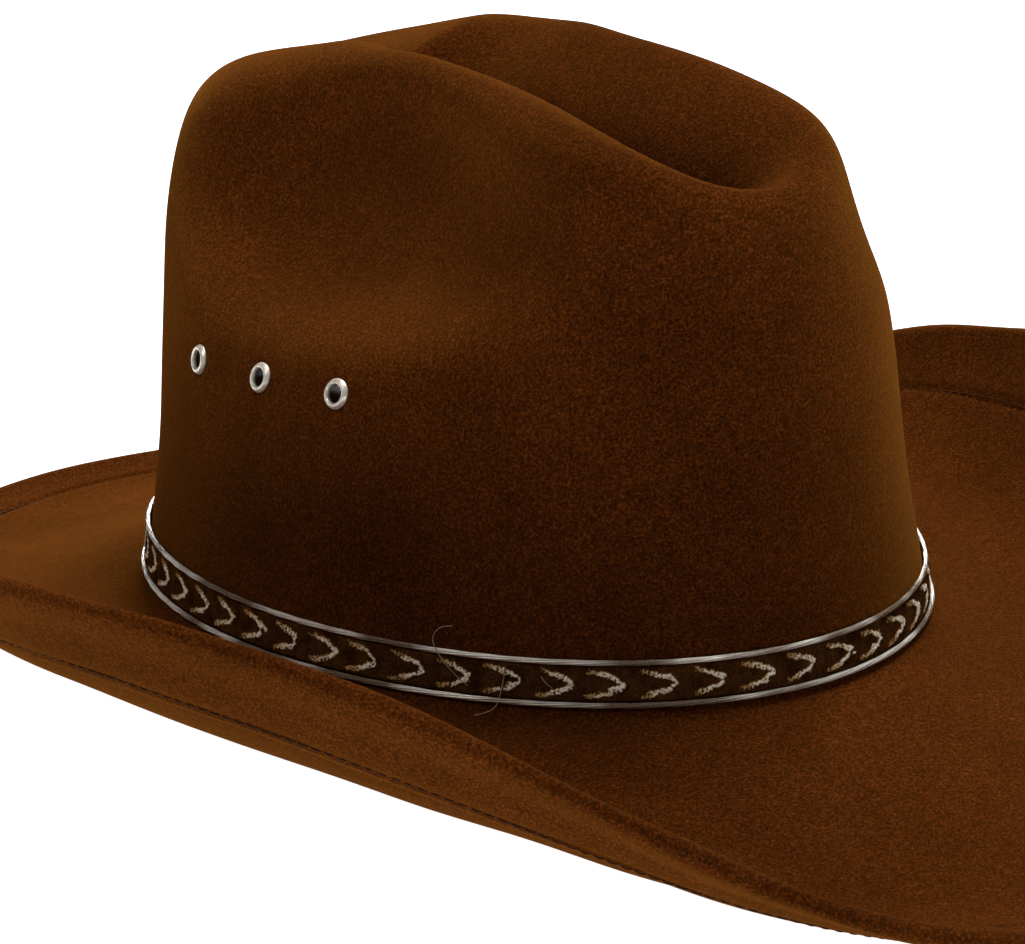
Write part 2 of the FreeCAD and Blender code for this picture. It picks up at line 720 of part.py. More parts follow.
os.makedirs("parts", exist_ok=True)
for node, shape in pieces().items():
    box = shape.BoundBox
    print(
        f"{node}: valid {shape.isValid()}, volume {shape.Volume:.1f} mm3,"
        f" x {box.XMin:.2f} to {box.XMax:.2f}, y {box.YMin:.2f} to {box.YMax:.2f},"
        f" z {box.ZMin:.2f} to {box.ZMax:.2f}"
    )
    shape.exportStep(f"parts/{node}.step")
for name, origin, axis in eyelet_spots():
    print(
        f"eyelet {name}: centre {origin.x:.3f} {origin.y:.3f} {origin.z:.3f},"
        f" axis {axis.x:.5f} {axis.y:.5f} {axis.z:.5f}"
    )
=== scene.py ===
import math

import bpy
import numpy as np
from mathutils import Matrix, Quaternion, Vector


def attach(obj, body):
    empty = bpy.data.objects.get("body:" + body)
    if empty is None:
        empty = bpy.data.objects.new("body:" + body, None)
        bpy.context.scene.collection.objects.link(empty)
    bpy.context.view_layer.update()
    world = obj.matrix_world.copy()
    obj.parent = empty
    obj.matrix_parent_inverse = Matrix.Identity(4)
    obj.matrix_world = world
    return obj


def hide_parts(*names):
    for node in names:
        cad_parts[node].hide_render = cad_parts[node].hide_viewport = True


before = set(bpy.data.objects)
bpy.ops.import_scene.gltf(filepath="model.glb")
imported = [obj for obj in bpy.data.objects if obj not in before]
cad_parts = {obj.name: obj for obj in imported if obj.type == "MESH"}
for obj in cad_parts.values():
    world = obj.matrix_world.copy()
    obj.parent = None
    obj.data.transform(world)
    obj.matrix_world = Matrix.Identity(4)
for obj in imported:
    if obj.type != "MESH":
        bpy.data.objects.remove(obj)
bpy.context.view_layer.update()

# A felt western hat. The form is worked out in millimetres, with the same dimensions and
# formulas as the CAD model, and every mesh is turned into metres at the end.
MM = 0.001

# ---- crown ----
OVAL_HALF_LENGTH = 101.8
OVAL_HALF_WIDTH = 84.9
BREAK_Z = 27.82
BREAK_SADDLE = 0.8
BREAK_TILT = -2.0
CROWN_Y = 0.84
CROWN_RISE = 120.1
TOP_SLOPE = -0.077
TAPER_SIDE = 0.254
TAPER_FRONT = 0.095
TAPER_BACK = -0.103
SHOULDER_SIDE = 4.8
SHOULDER_FRONT = 10.4
SHOULDER_BACK = 10.8
FLARE = 0.018
FLARE_RISE = 20.0

# ---- crease and ridges ----
CREASE_DEPTH = 36.2
CREASE_START = 0.55           # it begins at this share of the crown's height
CREASE_FULL = 0.95            # and has its whole depth here
CREASE_HALF_WIDTH = 17.4
CREASE_FRONT_Y = -77.0
CREASE_FRONT_RAMP = 18.8
CREASE_BACK_Y = 34.1
CREASE_BACK_RAMP = 14.6
RIDGE_HEIGHT = 14.1
RIDGE_X = 24.1
RIDGE_HALF_WIDTH = 21.8
RIDGE_Y = 11.3
RIDGE_HALF_LENGTH = 60.4

# ---- dents ----
DENT_DEPTH = 22.0
DENT_Y = 7.0
DENT_FRONT_LENGTH = 76.4
DENT_BACK_LENGTH = 56.8
DENT_RISE = 103.3
DENT_LOW_HALF_HEIGHT = 25.0
DENT_HIGH_HALF_HEIGHT = 23.6
DENT_TILT = -0.02
DENT_POWER = 3.2
DENT_SAG = 0.35
DENT_SHELF_X = 56.7
DENT_SHELF_WIDTH = 30.9
CENTRE_BLEND = 25.0

# ---- brim ----
REACH_SIDE = 67.3
REACH_FRONT = 93.7
REACH_BACK = 91.9
REACH_DIAGONAL = -8.5
REACH_DIAGONAL_FRONT = -4.4
REACH_CORNER = -6.3
LIFT_SIDE = 32.5
LIFT_FRONT = -23.5
LIFT_BACK = -18.1
LIFT_DIAGONAL = 1.9
LIFT_DIAGONAL_FRONT = 5.2
LIFT_CORNER = 5.6
LIFT_FORWARD = 8.9
LIFT_FORWARD_SHAPE = 2.6
SLOPE_SIDE = -0.7
ROLL_END = 12.9
ROLL_POWER = 4.53
ROLL_POWER_END = 0.91
CORNER = 3.5

# ---- felt, hem and thread ----
FELT = 1.6
FOLD_OUTER = 2.4
FOLD_TAPER = 4.0
HEM = 9.6
HEM_GAP = 0.3
HEM_STITCH = 8.6
THREAD_RADIUS = 0.2
GROOVE_DEPTH = 0.5
GROOVE_HALF_WIDTH = 0.8

# ---- hatband ----
BAND_TOP = 12.5
BAND_BOTTOM = 1.8
BAND_CLEAR = 0.35
RIBBON_THICKNESS = 0.7
CORD_RADIUS = 0.65
CORD_CLEAR = 0.1
JOIN_ANGLE = 22.0
JOIN_LENGTH = 11.0
JOIN_THICKNESS = 0.8
JOIN_CLEAR = 0.35
TACK_ANGLES = (40.0, 128.0, 216.0, 223.3, 318.0)
CHEVRONS = 52

# ---- sweatband ----
SWEAT_CLEAR = 0.3
SWEAT_THICKNESS = 0.9
SWEAT_BOTTOM = 0.6
SWEAT_TOP = 28.6
SWEAT_STITCH = 2.6
BOW_LOOP_LENGTH = 9.0
BOW_LOOP_HEIGHT = 5.0
BOW_RIBBON = 4.0
BOW_THICKNESS = 0.5
BOW_KNOT = 3.4
BOW_CLEAR = 0.15
BOW_RISE = 14.0

# ---- eyelets ----
EYELET_YS = (35.1, 6.4, -20.8)
EYELET_RISES = (59.0, 61.9, 64.2)
EYELET_BORE = 2.2
EYELET_BARREL = 2.6
EYELET_FLANGE = 3.55
EYELET_DOME = 1.3
EYELET_CLEAR = 0.12
HOLE_RADIUS = 2.85
WASHER_CLEAR = 0.45
WASHER_THICKNESS = 0.4
ROLL_RADIUS = 3.3
ROLL_THICKNESS = 0.5
ROLL_CLEAR = 0.1
EYELET_STEPS = 15
EYELET_SIDES = 64
EYELET_UNEVEN = 0.012         # how far a worn eyelet is from round, as a share
PAINTED_SHADE_TOP = 0.5                # the barrel is painted dull and dark below this height, as painted shade down the hole
EYELET_CREST_START = 0.05     # the flange's dome, as shares of half a turn
EYELET_CREST_SPAN = 0.68
EYELET_CREST_POWER = 0.7      # a lower power makes the dome fuller
EYELET_RIM_IN = 0.08          # the flange's underside is this much smaller

WALL_ANGLE_LIMIT = 40.0       # crown angle below which heights are looked for
HALVINGS = 30                 # how often the search for a height on the wall is halved
SPOT_STEPS = 40               # how often an eyelet's place on the wall is corrected
STEP = 1e-3                   # a small change of a form's parameter, to find its direction there
SEED = 7


# ======== the hat's form ========

def smooth_step(low, high, value):
    part = np.clip((value - low) / (high - low), 0.0, 1.0)
    return part * part * (3.0 - 2.0 * part)


def bump(value, half_width):
    """1 at the middle, falling off smoothly on both sides."""
    return np.exp(-(value / half_width) ** 2)


def by_side(t, side, front, back):
    """A value that differs at the sides, the front and the back of the oval; t is the way round."""
    end = np.where(np.sin(t) < 0.0, front, back)
    return side * np.cos(t) ** 2 + end * np.sin(t) ** 2


def diagonal(t):
    return np.sin(2.0 * t) ** 2


def break_height(t):
    return BREAK_Z + BREAK_SADDLE * np.cos(2.0 * t) + BREAK_TILT * np.sin(t)


def crease_depth(x, y):
    front = smooth_step(CREASE_FRONT_Y - CREASE_FRONT_RAMP, CREASE_FRONT_Y + CREASE_FRONT_RAMP, y)
    back = smooth_step(CREASE_BACK_Y - CREASE_BACK_RAMP, CREASE_BACK_Y + CREASE_BACK_RAMP, y)
    return CREASE_DEPTH * bump(x, CREASE_HALF_WIDTH) * front * (1.0 - back)


def dent_depth(y, z):
    """How deep the side dent is: an oval bowl with a flat bottom and a firm edge."""
    length = np.where(y < DENT_Y, DENT_FRONT_LENGTH, DENT_BACK_LENGTH)
    over = z - BREAK_Z - DENT_RISE - DENT_TILT * (y - DENT_Y)
    height = np.where(over < 0.0, DENT_LOW_HALF_HEIGHT, DENT_HIGH_HALF_HEIGHT)
    out = np.hypot((y - DENT_Y) / length, over / height)
    return DENT_DEPTH * np.exp(-out ** DENT_POWER)


def crown_point(angle, t):
    """The crown's outside: angle 0 is the break, 90 degrees the middle of the top."""
    angle, t = np.broadcast_arrays(np.asarray(angle, float), np.asarray(t, float))
    power = by_side(t, SHOULDER_SIDE, SHOULDER_FRONT, SHOULDER_BACK)
    across = np.cos(np.radians(angle))
    up = np.sin(np.radians(angle))
    size = (np.abs(across) ** power + np.abs(up) ** power) ** (1.0 / power)
    across = across / size
    up = up / size
    taper = 1.0 - by_side(t, TAPER_SIDE, TAPER_FRONT, TAPER_BACK) * up
    size = across * taper * (1.0 + FLARE * np.exp(-up * CROWN_RISE / FLARE_RISE))
    x = OVAL_HALF_WIDTH * np.cos(t) * size
    y = OVAL_HALF_LENGTH * np.sin(t) * size
    ridge = RIDGE_HEIGHT * bump(y - RIDGE_Y, RIDGE_HALF_LENGTH)
    ridge = ridge * bump(np.abs(x) - RIDGE_X, RIDGE_HALF_WIDTH)
    top = BREAK_Z + CROWN_RISE + TOP_SLOPE * y + ridge
    z = break_height(t) * (1.0 - up) + top * up
    z = z - crease_depth(x, y) * smooth_step(CREASE_START, CREASE_FULL, up)
    dent = dent_depth(y, z)
    x = x - np.tanh(x / CENTRE_BLEND) * dent
    z = z - DENT_SAG * dent * bump(np.abs(x) - DENT_SHELF_X, DENT_SHELF_WIDTH)
    return np.stack([x, y + CROWN_Y, z], axis=-1)


def brim_direction(t):
    level = np.stack([np.cos(t) / OVAL_HALF_WIDTH, np.sin(t) / OVAL_HALF_LENGTH, 0.0 * t], axis=-1)
    return unit(level)


def brim_corner(t):
    """Highest between the diagonal and the end."""
    return diagonal(t) * np.sin(t) ** 2


def brim_reach(t):
    reach = by_side(t, REACH_SIDE, REACH_FRONT, REACH_BACK) + REACH_CORNER * brim_corner(t)
    return reach + (REACH_DIAGONAL - REACH_DIAGONAL_FRONT * np.sin(t)) * diagonal(t)


def brim_point(out, t):
    """The brim's top: out is 0 at the break and 1 at the rim."""
    out, t = np.broadcast_arrays(np.asarray(out, float), np.asarray(t, float))
    lift = by_side(t, LIFT_SIDE, LIFT_FRONT, LIFT_BACK)
    lift = lift + (LIFT_DIAGONAL - LIFT_DIAGONAL_FRONT * np.sin(t)) * diagonal(t)
    lift = lift - LIFT_FORWARD * LIFT_FORWARD_SHAPE * np.sin(t) * np.cos(t) ** 2
    lift = lift + LIFT_CORNER * brim_corner(t) * (1.0 - np.sin(t)) / 2.0
    slope = by_side(t, SLOPE_SIDE, LIFT_FRONT - ROLL_END, LIFT_BACK - ROLL_END)
    power = ROLL_POWER + ROLL_POWER_END * np.sin(t) ** 2
    z = break_height(t) + slope * out + (lift - slope) * np.abs(out) ** power
    x = OVAL_HALF_WIDTH * (1.0 + FLARE) * np.cos(t)
    y = OVAL_HALF_LENGTH * (1.0 + FLARE) * np.sin(t) + CROWN_Y
    foot = np.stack([x, y, z], axis=-1)
    return foot + brim_direction(t) * (brim_reach(t) * out)[..., None]


def angle_at_rise(rise, t):
    """The crown angle at which the wall stands this high over the break."""
    rise, t = np.broadcast_arrays(np.asarray(rise, float), np.asarray(t, float))
    low = np.zeros(t.shape)
    high = np.full(t.shape, WALL_ANGLE_LIMIT)
    for _ in range(HALVINGS):
        middle = (low + high) / 2.0
        under = crown_point(middle, t)[..., 2] - break_height(t) < rise
        low = np.where(under, middle, low)
        high = np.where(under, high, middle)
    return low


def corner_point(part, t):
    """The rounded corner between crown (part 0) and brim (part 1)."""
    part, t = np.broadcast_arrays(np.asarray(part, float), np.asarray(t, float))
    start = crown_point(angle_at_rise(CORNER, t), t)
    tip = crown_point(0.0 * t, t)
    end = brim_point(CORNER / brim_reach(t), t)
    part = part[..., None]
    near = 1.0 - part
    return start * near ** 2 + tip * (2.0 * part * near) + end * part ** 2


def unit(vectors):
    return vectors / np.maximum(np.linalg.norm(vectors, axis=-1, keepdims=True), 1e-12)


def outward(place, value, t):
    """The unit normal of the felt's outside or top."""
    along = place(value + STEP, t) - place(value - STEP, t)
    around = place(value, t + STEP) - place(value, t - STEP)
    if place is crown_point:
        return unit(np.cross(around, along))
    return unit(np.cross(along, around))


def wall_point(rise, t, off):
    """A point this high over the break and this far off the crown's outside."""
    angle = angle_at_rise(rise, t)
    flat = outward(crown_point, angle, t)
    flat = unit(flat * np.array([1.0, 1.0, 0.0]))
    return crown_point(angle, t) + flat * np.asarray(off, float)[..., None]


def brim_off(back, t, off):
    """A point this far in from the rim, and this far above the brim's top."""
    out = 1.0 - np.asarray(back, float) / brim_reach(t)
    return brim_point(out, t) + outward(brim_point, out, t) * np.asarray(off, float)[..., None]


def hem_depth(back):
    """From the brim's top to the underside of the folded hem, this far in from the rim."""
    closed = 2.0 * FELT + HEM_GAP
    part = smooth_step(0.0, FOLD_TAPER, back)
    return 2.0 * FOLD_OUTER * (1.0 - part) + closed * part


def fold_point(turn, t, radius):
    """A point of the fold round the wire: turn 0 is on top and 180 below."""
    rim = np.ones(np.shape(t))
    up = outward(brim_point, rim, t)
    around = brim_point(rim, t + STEP) - brim_point(rim, t - STEP)
    out = unit(np.cross(around, up))
    centre = brim_point(rim, t) - up * FOLD_OUTER
    angle = np.radians(turn)
    return centre + up * (radius * np.cos(angle)) + out * (radius * np.sin(angle))


def eyelet_spot(y, rise, side):
    """Centre on the felt's outside, and outward axis, of one eyelet; side is 1 for the left."""
    t = math.pi - math.asin(y / OVAL_HALF_LENGTH)
    for _ in range(SPOT_STEPS):
        angle = float(angle_at_rise(rise + BREAK_Z - break_height(t), t))
        t = t + (float(crown_point(angle, t)[1]) - CROWN_Y - y) / OVAL_HALF_LENGTH
    mirror = np.array([-side, 1.0, 1.0])
    return crown_point(angle, t) * mirror, outward(crown_point, angle, t) * mirror


def eyelet_spots():
    found = []
    for name, side in (("left", 1.0), ("right", -1.0)):
        for number, (y, rise) in enumerate(zip(EYELET_YS, EYELET_RISES)):
            origin, axis = eyelet_spot(y, rise, side)
            found.append((f"{name}_{number + 1}", origin, axis))
    return found


# ======== mesh making ========

def add_object(name, data):
    thing = bpy.data.objects.new(name, data)
    bpy.context.scene.collection.objects.link(thing)
    return thing


def add_mesh(name, points, faces):
    """A smooth mesh object from points in millimetres."""
    mesh = bpy.data.meshes.new(name)
    mesh.from_pydata((np.asarray(points) * MM).tolist(), [], [list(map(int, f)) for f in faces])
    mesh.validate()
    mesh.update()
    mesh.polygons.foreach_set("use_smooth", [True] * len(mesh.polygons))
    piece = add_object(name, mesh)
    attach(piece, "root")
    return piece


def grid_faces(rows, columns, closed_rows=False, closed_columns=True):
    """Quads over a grid of points, rows by columns."""
    i = np.arange(rows if closed_rows else rows - 1)
    j = np.arange(columns if closed_columns else columns - 1)
    i, j = np.meshgrid(i, j, indexing="ij")
    i2 = (i + 1) % rows
    j2 = (j + 1) % columns
    quads = np.stack([i * columns + j, i * columns + j2, i2 * columns + j2, i2 * columns + j], -1)
    return quads.reshape(-1, 4)


def ring_mesh(name, rows):
    """A mesh object from rings of points, closed round each ring and from the last to the first."""
    rows = np.array(rows)
    return add_mesh(name, rows.reshape(-1, 3), grid_faces(*rows.shape[:2], closed_rows=True))


def set_attribute(piece, name, values):
    """A number for each point, for the material to read."""
    layer = piece.data.attributes.new(name, "FLOAT", "POINT")
    layer.data.foreach_set("value", np.asarray(values, np.float32).ravel())


def tube_points(centres, radius, sides, closed):
    """Points of a round tube along centres; radius may differ along it."""
    centres = np.asarray(centres, float)
    if closed:
        heading = unit(np.roll(centres, -1, 0) - np.roll(centres, 1, 0))
    else:
        heading = unit(np.gradient(centres, axis=0))
    side = unit(np.cross(heading, np.array([0.0, 0.0, 1.0])) + 1e-9)
    up = np.cross(side, heading)
    turn = angles(sides)
    radius = np.broadcast_to(np.asarray(radius, float), (len(centres),))[:, None, None]
    ring = side[:, None] * np.cos(turn)[None, :, None] + up[:, None] * np.sin(turn)[None, :, None]
    return centres[:, None] + ring * radius


class Heap:
    """Points and faces of many small forms that make one mesh."""

    def __init__(self):
        self.points = []
        self.faces = []
        self.count = 0

    def rings(self, points, closed=False):
        """Rings of points joined into a tube; its two ends are capped unless it closes on itself."""
        rows, sides = points.shape[:2]
        faces = grid_faces(rows, sides, closed_rows=closed).tolist()
        if not closed:
            faces.append(list(reversed(range(sides))))
            faces.append([(rows - 1) * sides + k for k in range(sides)])
        self.faces += [[corner + self.count for corner in face] for face in faces]
        self.points.append(points.reshape(-1, 3))
        self.count += rows * sides

    def tube(self, centres, radius, sides=6, closed=False):
        self.rings(tube_points(centres, radius, sides, closed), closed)

    def piece(self, name):
        return add_mesh(name, np.concatenate(self.points), self.faces)


def angles(count):
    return 2.0 * math.pi * np.arange(count) / count


def waves(points, scale, seed, count=24):
    """Smooth, gentle unevenness, mostly from -1 to 1 and the same each run."""
    draw = np.random.default_rng(seed)
    ways = unit(draw.normal(size=(count, 3)))
    pitch = draw.uniform(0.6, 1.6, count) / scale
    start = draw.uniform(0.0, 2.0 * math.pi, count)
    total = np.sin(points @ ways.T * pitch * 2.0 * math.pi + start).sum(-1)
    return total / math.sqrt(count)


# ======== felt ========

COLUMNS = 440
CROWN_ROWS = 128
CORNER_ROWS = 7
BRIM_ROWS = 46
HEM_ROWS = 20
FOLD_ROWS = 11
CROWN_FIRST_ANGLE = 89.7      # the ring of points nearest to the middle of the top
CROWN_LAST_ANGLE = 2.2        # the ring just over the rounded corner
HEM_FIRST = 0.35              # from the rim to the hem's nearest ring
UNEVEN = 0.35                 # by how much the blocked felt wanders
UNEVEN_PITCH = 60.0           # and over what length
HOLE_REACH = 6.0              # along an eyelet's axis, felt within this is cut
HOLE_SNAP = 2.2               # a hole's ragged edge lies within this many of its radii
FADE_RISES = (14.0, 40.0)     # the felt stays even below the first and wanders freely over the second
FADE_PLANS = (1.1, 1.3)       # the same over the brim, in half widths of the crown's oval
FADE_EYELETS = (5.0, 16.0)    # and round each eyelet
CROWN_PLAN = 1.05             # the crown lies within this many half widths


def felt_rows(depth, fold_radius, grooved):
    """Rings of points over one skin of the felt, from the top of the crown to the hem's raw edge."""
    t = angles(COLUMNS)
    rows = []

    def skin(place, value):
        value = np.broadcast_to(value, t.shape)
        return place(value, t) - outward(place, value, t) * depth

    for angle in np.linspace(CROWN_FIRST_ANGLE, CROWN_LAST_ANGLE, CROWN_ROWS):
        rows.append(skin(crown_point, angle))
    start = angle_at_rise(CORNER, t)
    for part in np.linspace(0.0, 1.0, CORNER_ROWS):
        rows.append(skin(corner_point, part) if part > 0.0 else skin(crown_point, start))
    first = CORNER / brim_reach(t)
    last = 1.0 - HEM / brim_reach(t)
    for part in np.linspace(0.0, 1.0, BRIM_ROWS)[1:-1]:
        rows.append(skin(brim_point, first + (last - first) * part))
    hem = np.linspace(HEM, HEM_FIRST, HEM_ROWS)
    for back in hem:
        rows.append(brim_off(back, t, -depth - groove(back) * grooved))
    for turn in np.linspace(0.0, 180.0, FOLD_ROWS):
        rows.append(fold_point(turn, t, fold_radius))
    for back in hem[::-1]:
        rows.append(brim_off(back, t, depth - hem_depth(back) + groove(back) * grooved))
    return np.array(rows)


def groove(back):
    """How deep the stitching pulls the felt in."""
    return GROOVE_DEPTH * bump(back - HEM_STITCH, GROOVE_HALF_WIDTH)


def felt_piece():
    outer = felt_rows(0.0, FOLD_OUTER, 1.0)
    inner = felt_rows(FELT, FOLD_OUTER - FELT, 0.0)
    sag = waves(outer, UNEVEN_PITCH, SEED)[..., None] * UNEVEN * fade_at_band(outer)
    normal = unit(outer - inner)
    outer = outer + normal * sag
    inner = inner + normal * sag
    rows, columns = outer.shape[:2]
    count = rows * columns
    quads = grid_faces(rows, columns)
    flat_outer = outer.reshape(-1, 3)
    flat_inner = inner.reshape(-1, 3)
    keep = clear_of_holes(flat_outer[quads].mean(1))
    for _, origin, axis in eyelet_spots():
        for flat in (flat_outer, flat_inner):
            snap_to_hole(flat, quads, keep, origin, axis)
    skins = [quads[keep], quads[keep][:, ::-1] + count]
    walls = [hole_walls(quads, keep, count), edge_walls(rows - 1, columns, count)]
    faces = [face for part in skins + walls for face in part] + cap_faces(columns, count)
    middles = [outer[0].mean(0), inner[0].mean(0)]
    piece = add_mesh("felt_hat", np.concatenate([flat_outer, flat_inner, middles]), faces)
    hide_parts("felt_body")
    return piece


def from_axis(places, origin, axis):
    """How far along an eyelet's axis each place is, and its offset from that axis."""
    across = places - origin
    along = across @ axis
    return along, across - along[:, None] * axis


def clear_of_holes(places):
    """Which places lie outside every eyelet hole."""
    clear = np.ones(len(places), bool)
    for _, origin, axis in eyelet_spots():
        along, offset = from_axis(places, origin, axis)
        inside = np.linalg.norm(offset, axis=1) < HOLE_RADIUS
        clear &= ~(inside & (np.abs(along) < HOLE_REACH))
    return clear


def fade_at_band(points):
    """0 where the band and the eyelets sit, so that they stay against the felt."""
    t = np.arctan2(points[..., 1] / OVAL_HALF_LENGTH, points[..., 0] / OVAL_HALF_WIDTH)
    rise = points[..., 2] - break_height(t)
    plan = np.hypot(points[..., 0] / OVAL_HALF_WIDTH, points[..., 1] / OVAL_HALF_LENGTH)
    crown = smooth_step(*FADE_RISES, rise) * (plan < CROWN_PLAN)
    brim = smooth_step(*FADE_PLANS, plan)
    fade = np.maximum(crown, brim)
    for _, origin, axis in eyelet_spots():
        fade = fade * smooth_step(*FADE_EYELETS, np.linalg.norm(points - origin, axis=-1))
    return fade[..., None]


def snap_to_hole(flat, quads, keep, origin, axis):
    """Move the points at a hole's edge onto its circle."""
    edge = np.intersect1d(quads[~keep], quads[keep])
    along, offset = from_axis(flat[edge], origin, axis)
    near = np.linalg.norm(offset, axis=1) < HOLE_SNAP * HOLE_RADIUS
    near &= np.abs(along) < HOLE_REACH
    moved = origin + along[:, None] * axis + unit(offset) * HOLE_RADIUS
    flat[edge[near]] = moved[near]


def hole_walls(quads, keep, count):
    """Faces that join the outer and the inner skin round each hole."""
    edges = np.stack([quads, np.roll(quads, -1, axis=1)], -1)
    gone = {tuple(edge) for edge in edges[~keep].reshape(-1, 2).tolist()}
    kept = edges[keep].reshape(-1, 2).tolist()
    return [(b, a, a + count, b + count) for a, b in kept if (b, a) in gone]


def edge_walls(row, columns, count):
    """Faces that join the two skins along one row: the hem's raw edge."""
    j = np.arange(columns)
    a = row * columns + j
    b = row * columns + (j + 1) % columns
    return np.stack([a, b, b + count, a + count], -1)


def cap_faces(columns, count):
    """The small fans that close the two skins at the middle of the crown."""
    caps = []
    for j in range(columns):
        k = (j + 1) % columns
        caps.append([2 * count, k, j])
        caps.append([2 * count + 1, count + j, count + k])
    return caps


# ======== hem thread ========

STITCH_LENGTH = 3.1
STITCH_DIP = 0.28             # how deep a stitch's ends go into the felt
STITCH_POINTS = 7
STITCH_ENDS = (0.06, 0.94)    # where the thread starts and stops, as shares of a stitch
STITCH_ARCH = 0.6             # a lower power gives a flatter arch
STITCH_STAND = 0.7            # how high its middle stands, in thread radii, and 0.1 mm more
STITCH_NARROW = 0.75          # the thread's width at its ends, as a share
EVEN_SAMPLES = 4001


def even_angles(place, count):
    """Angles at which place(t) has even spacing."""
    t = np.linspace(0.0, 2.0 * math.pi, EVEN_SAMPLES)
    line = place(t)
    length = np.concatenate([[0.0], np.cumsum(np.linalg.norm(np.diff(line, axis=0), axis=1))])
    marks = np.linspace(0.0, length[-1], count, endpoint=False)
    return np.interp(marks, length, t), length[-1]


def stitches(name, line, node, length=STITCH_LENGTH, dip=STITCH_DIP):
    """A row of stitches: each is a short arched thread that dips into the cloth at both ends.

    line(t, off) gives points on the cloth, moved off along its outward normal.
    """
    _, total = even_angles(lambda t: line(t, 0.0), 1)
    starts, _ = even_angles(lambda t: line(t, 0.0), int(round(total / length)))
    ends = np.append(starts[1:], 2.0 * math.pi)
    share = np.linspace(*STITCH_ENDS, STITCH_POINTS)
    arch = np.sin(math.pi * np.linspace(0.0, 1.0, STITCH_POINTS)) ** STITCH_ARCH
    off = THREAD_RADIUS * STITCH_STAND - dip + (dip + 0.1) * arch
    radius = THREAD_RADIUS * (STITCH_NARROW + (1.0 - STITCH_NARROW) * arch)
    heap = Heap()
    for a, b in zip(starts, ends):
        heap.tube(line(a + (b - a) * share, off), radius)
    piece = heap.piece(name)
    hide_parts(node)
    return piece


def hem_stitches():
    def on_top(t, off):
        return brim_off(HEM_STITCH, t, off - GROOVE_DEPTH)

    def under(t, off):
        depth = hem_depth(HEM_STITCH) - GROOVE_DEPTH
        return brim_off(HEM_STITCH, t, -depth - off)

    top = stitches("hem_thread_top", on_top, "hem_stitch_top")
    below = stitches("hem_thread_under", under, "hem_stitch_under")
    return top, below


# ======== hatband ========

RIBBON_LOW = BAND_BOTTOM + 2.0 * CORD_RADIUS + CORD_CLEAR
RIBBON_HIGH = BAND_TOP - 2.0 * CORD_RADIUS - CORD_CLEAR
RIBBON_FACE = BAND_CLEAR + RIBBON_THICKNESS
RIBBON_MIDDLE = 0.5 * (RIBBON_LOW + RIBBON_HIGH)
RIBBON_HALF = 0.5 * (RIBBON_HIGH - RIBBON_LOW)
RIBBON_COLUMNS = 2450
RIBBON_ROWS = 38
CHEVRON_PITCH = 11.4
CHEVRON_REACH = 0.86          # how near the arms come to the ribbon's edge, of its half width
CHEVRON_BEND = 0.40           # how soon the arms bend back along the ribbon, in pitches
CHEVRON_LENGTH = 0.76         # in pitches
CHEVRON_WANDER = 0.06         # how far the arms stray, in pitches
CHEVRON_RELIEF = 0.30
YARN_HALF_WIDTH = 0.66
YARN_NARROW = 0.55            # the yarn's width between its knots, as a share
YARN_SWELL = 0.75             # and what a knot adds
YARN_EDGE = (0.55, 1.15)      # the yarn's height falls between these shares of its half width
YARN_THINNING = 0.62          # how much lower it is at the arms' far ends
YARN_THIN_START = 0.15        # how far from the point the thinning starts, in pitches
YARN_END = 0.08               # the length over which the yarn stops, in pitches
YARN_BREAKS = (0.14, 0.44)    # knots below the first leave a gap, knots over the second none
YARN_WHOLE = 0.30             # how much less it breaks near the point,
YARN_WHOLE_FALL = 1.4         # and how quickly that is lost along the arms
YARN_FUZZ = 0.12
WANDER_PITCH = 2.6            # the pitches of the unevenness, in millimetres
KNOT_PITCH = 0.75
FUZZ_PITCH = 0.8
GROUND_PITCH = 0.9
GROUND_RELIEF = 0.04
RIBBON_SINK = 0.12            # how far the woven ground lies under the CAD ribbon's face
RIBBON_EDGE_DROP = 0.25
RIBBON_EDGE_START = 0.9       # of the ribbon's half width


def chevron_mask(along, height):
    """How much yarn is at a place: along in pitches, height from -1 to 1 over the ribbon."""
    place = np.stack([along * CHEVRON_PITCH, height * RIBBON_HALF, 0.0 * along], -1)
    wander = waves(place, WANDER_PITCH, SEED + 3)
    back = (CHEVRON_WANDER * wander - along) % 1.0
    bend = np.exp(-back / CHEVRON_BEND)
    arm = CHEVRON_REACH * (1.0 - bend)
    steep = CHEVRON_REACH / CHEVRON_BEND * bend / CHEVRON_PITCH
    gap = np.abs(np.abs(height) - arm) / np.hypot(1.0 / RIBBON_HALF, steep)
    knots = 0.5 + 0.5 * waves(place, KNOT_PITCH, SEED + 4)
    wide = YARN_HALF_WIDTH * (YARN_NARROW + YARN_SWELL * np.clip(knots, 0.0, 1.0))
    inside = 1.0 - smooth_step(*YARN_EDGE, gap / wide)
    thinning = 1.0 - YARN_THINNING * smooth_step(YARN_THIN_START, CHEVRON_LENGTH, back)
    whole = YARN_WHOLE * (1.0 - YARN_WHOLE_FALL * back)
    broken = smooth_step(*YARN_BREAKS, knots + whole)
    ends = 1.0 - smooth_step(CHEVRON_LENGTH - YARN_END, CHEVRON_LENGTH, back)
    return inside * thinning * broken * ends


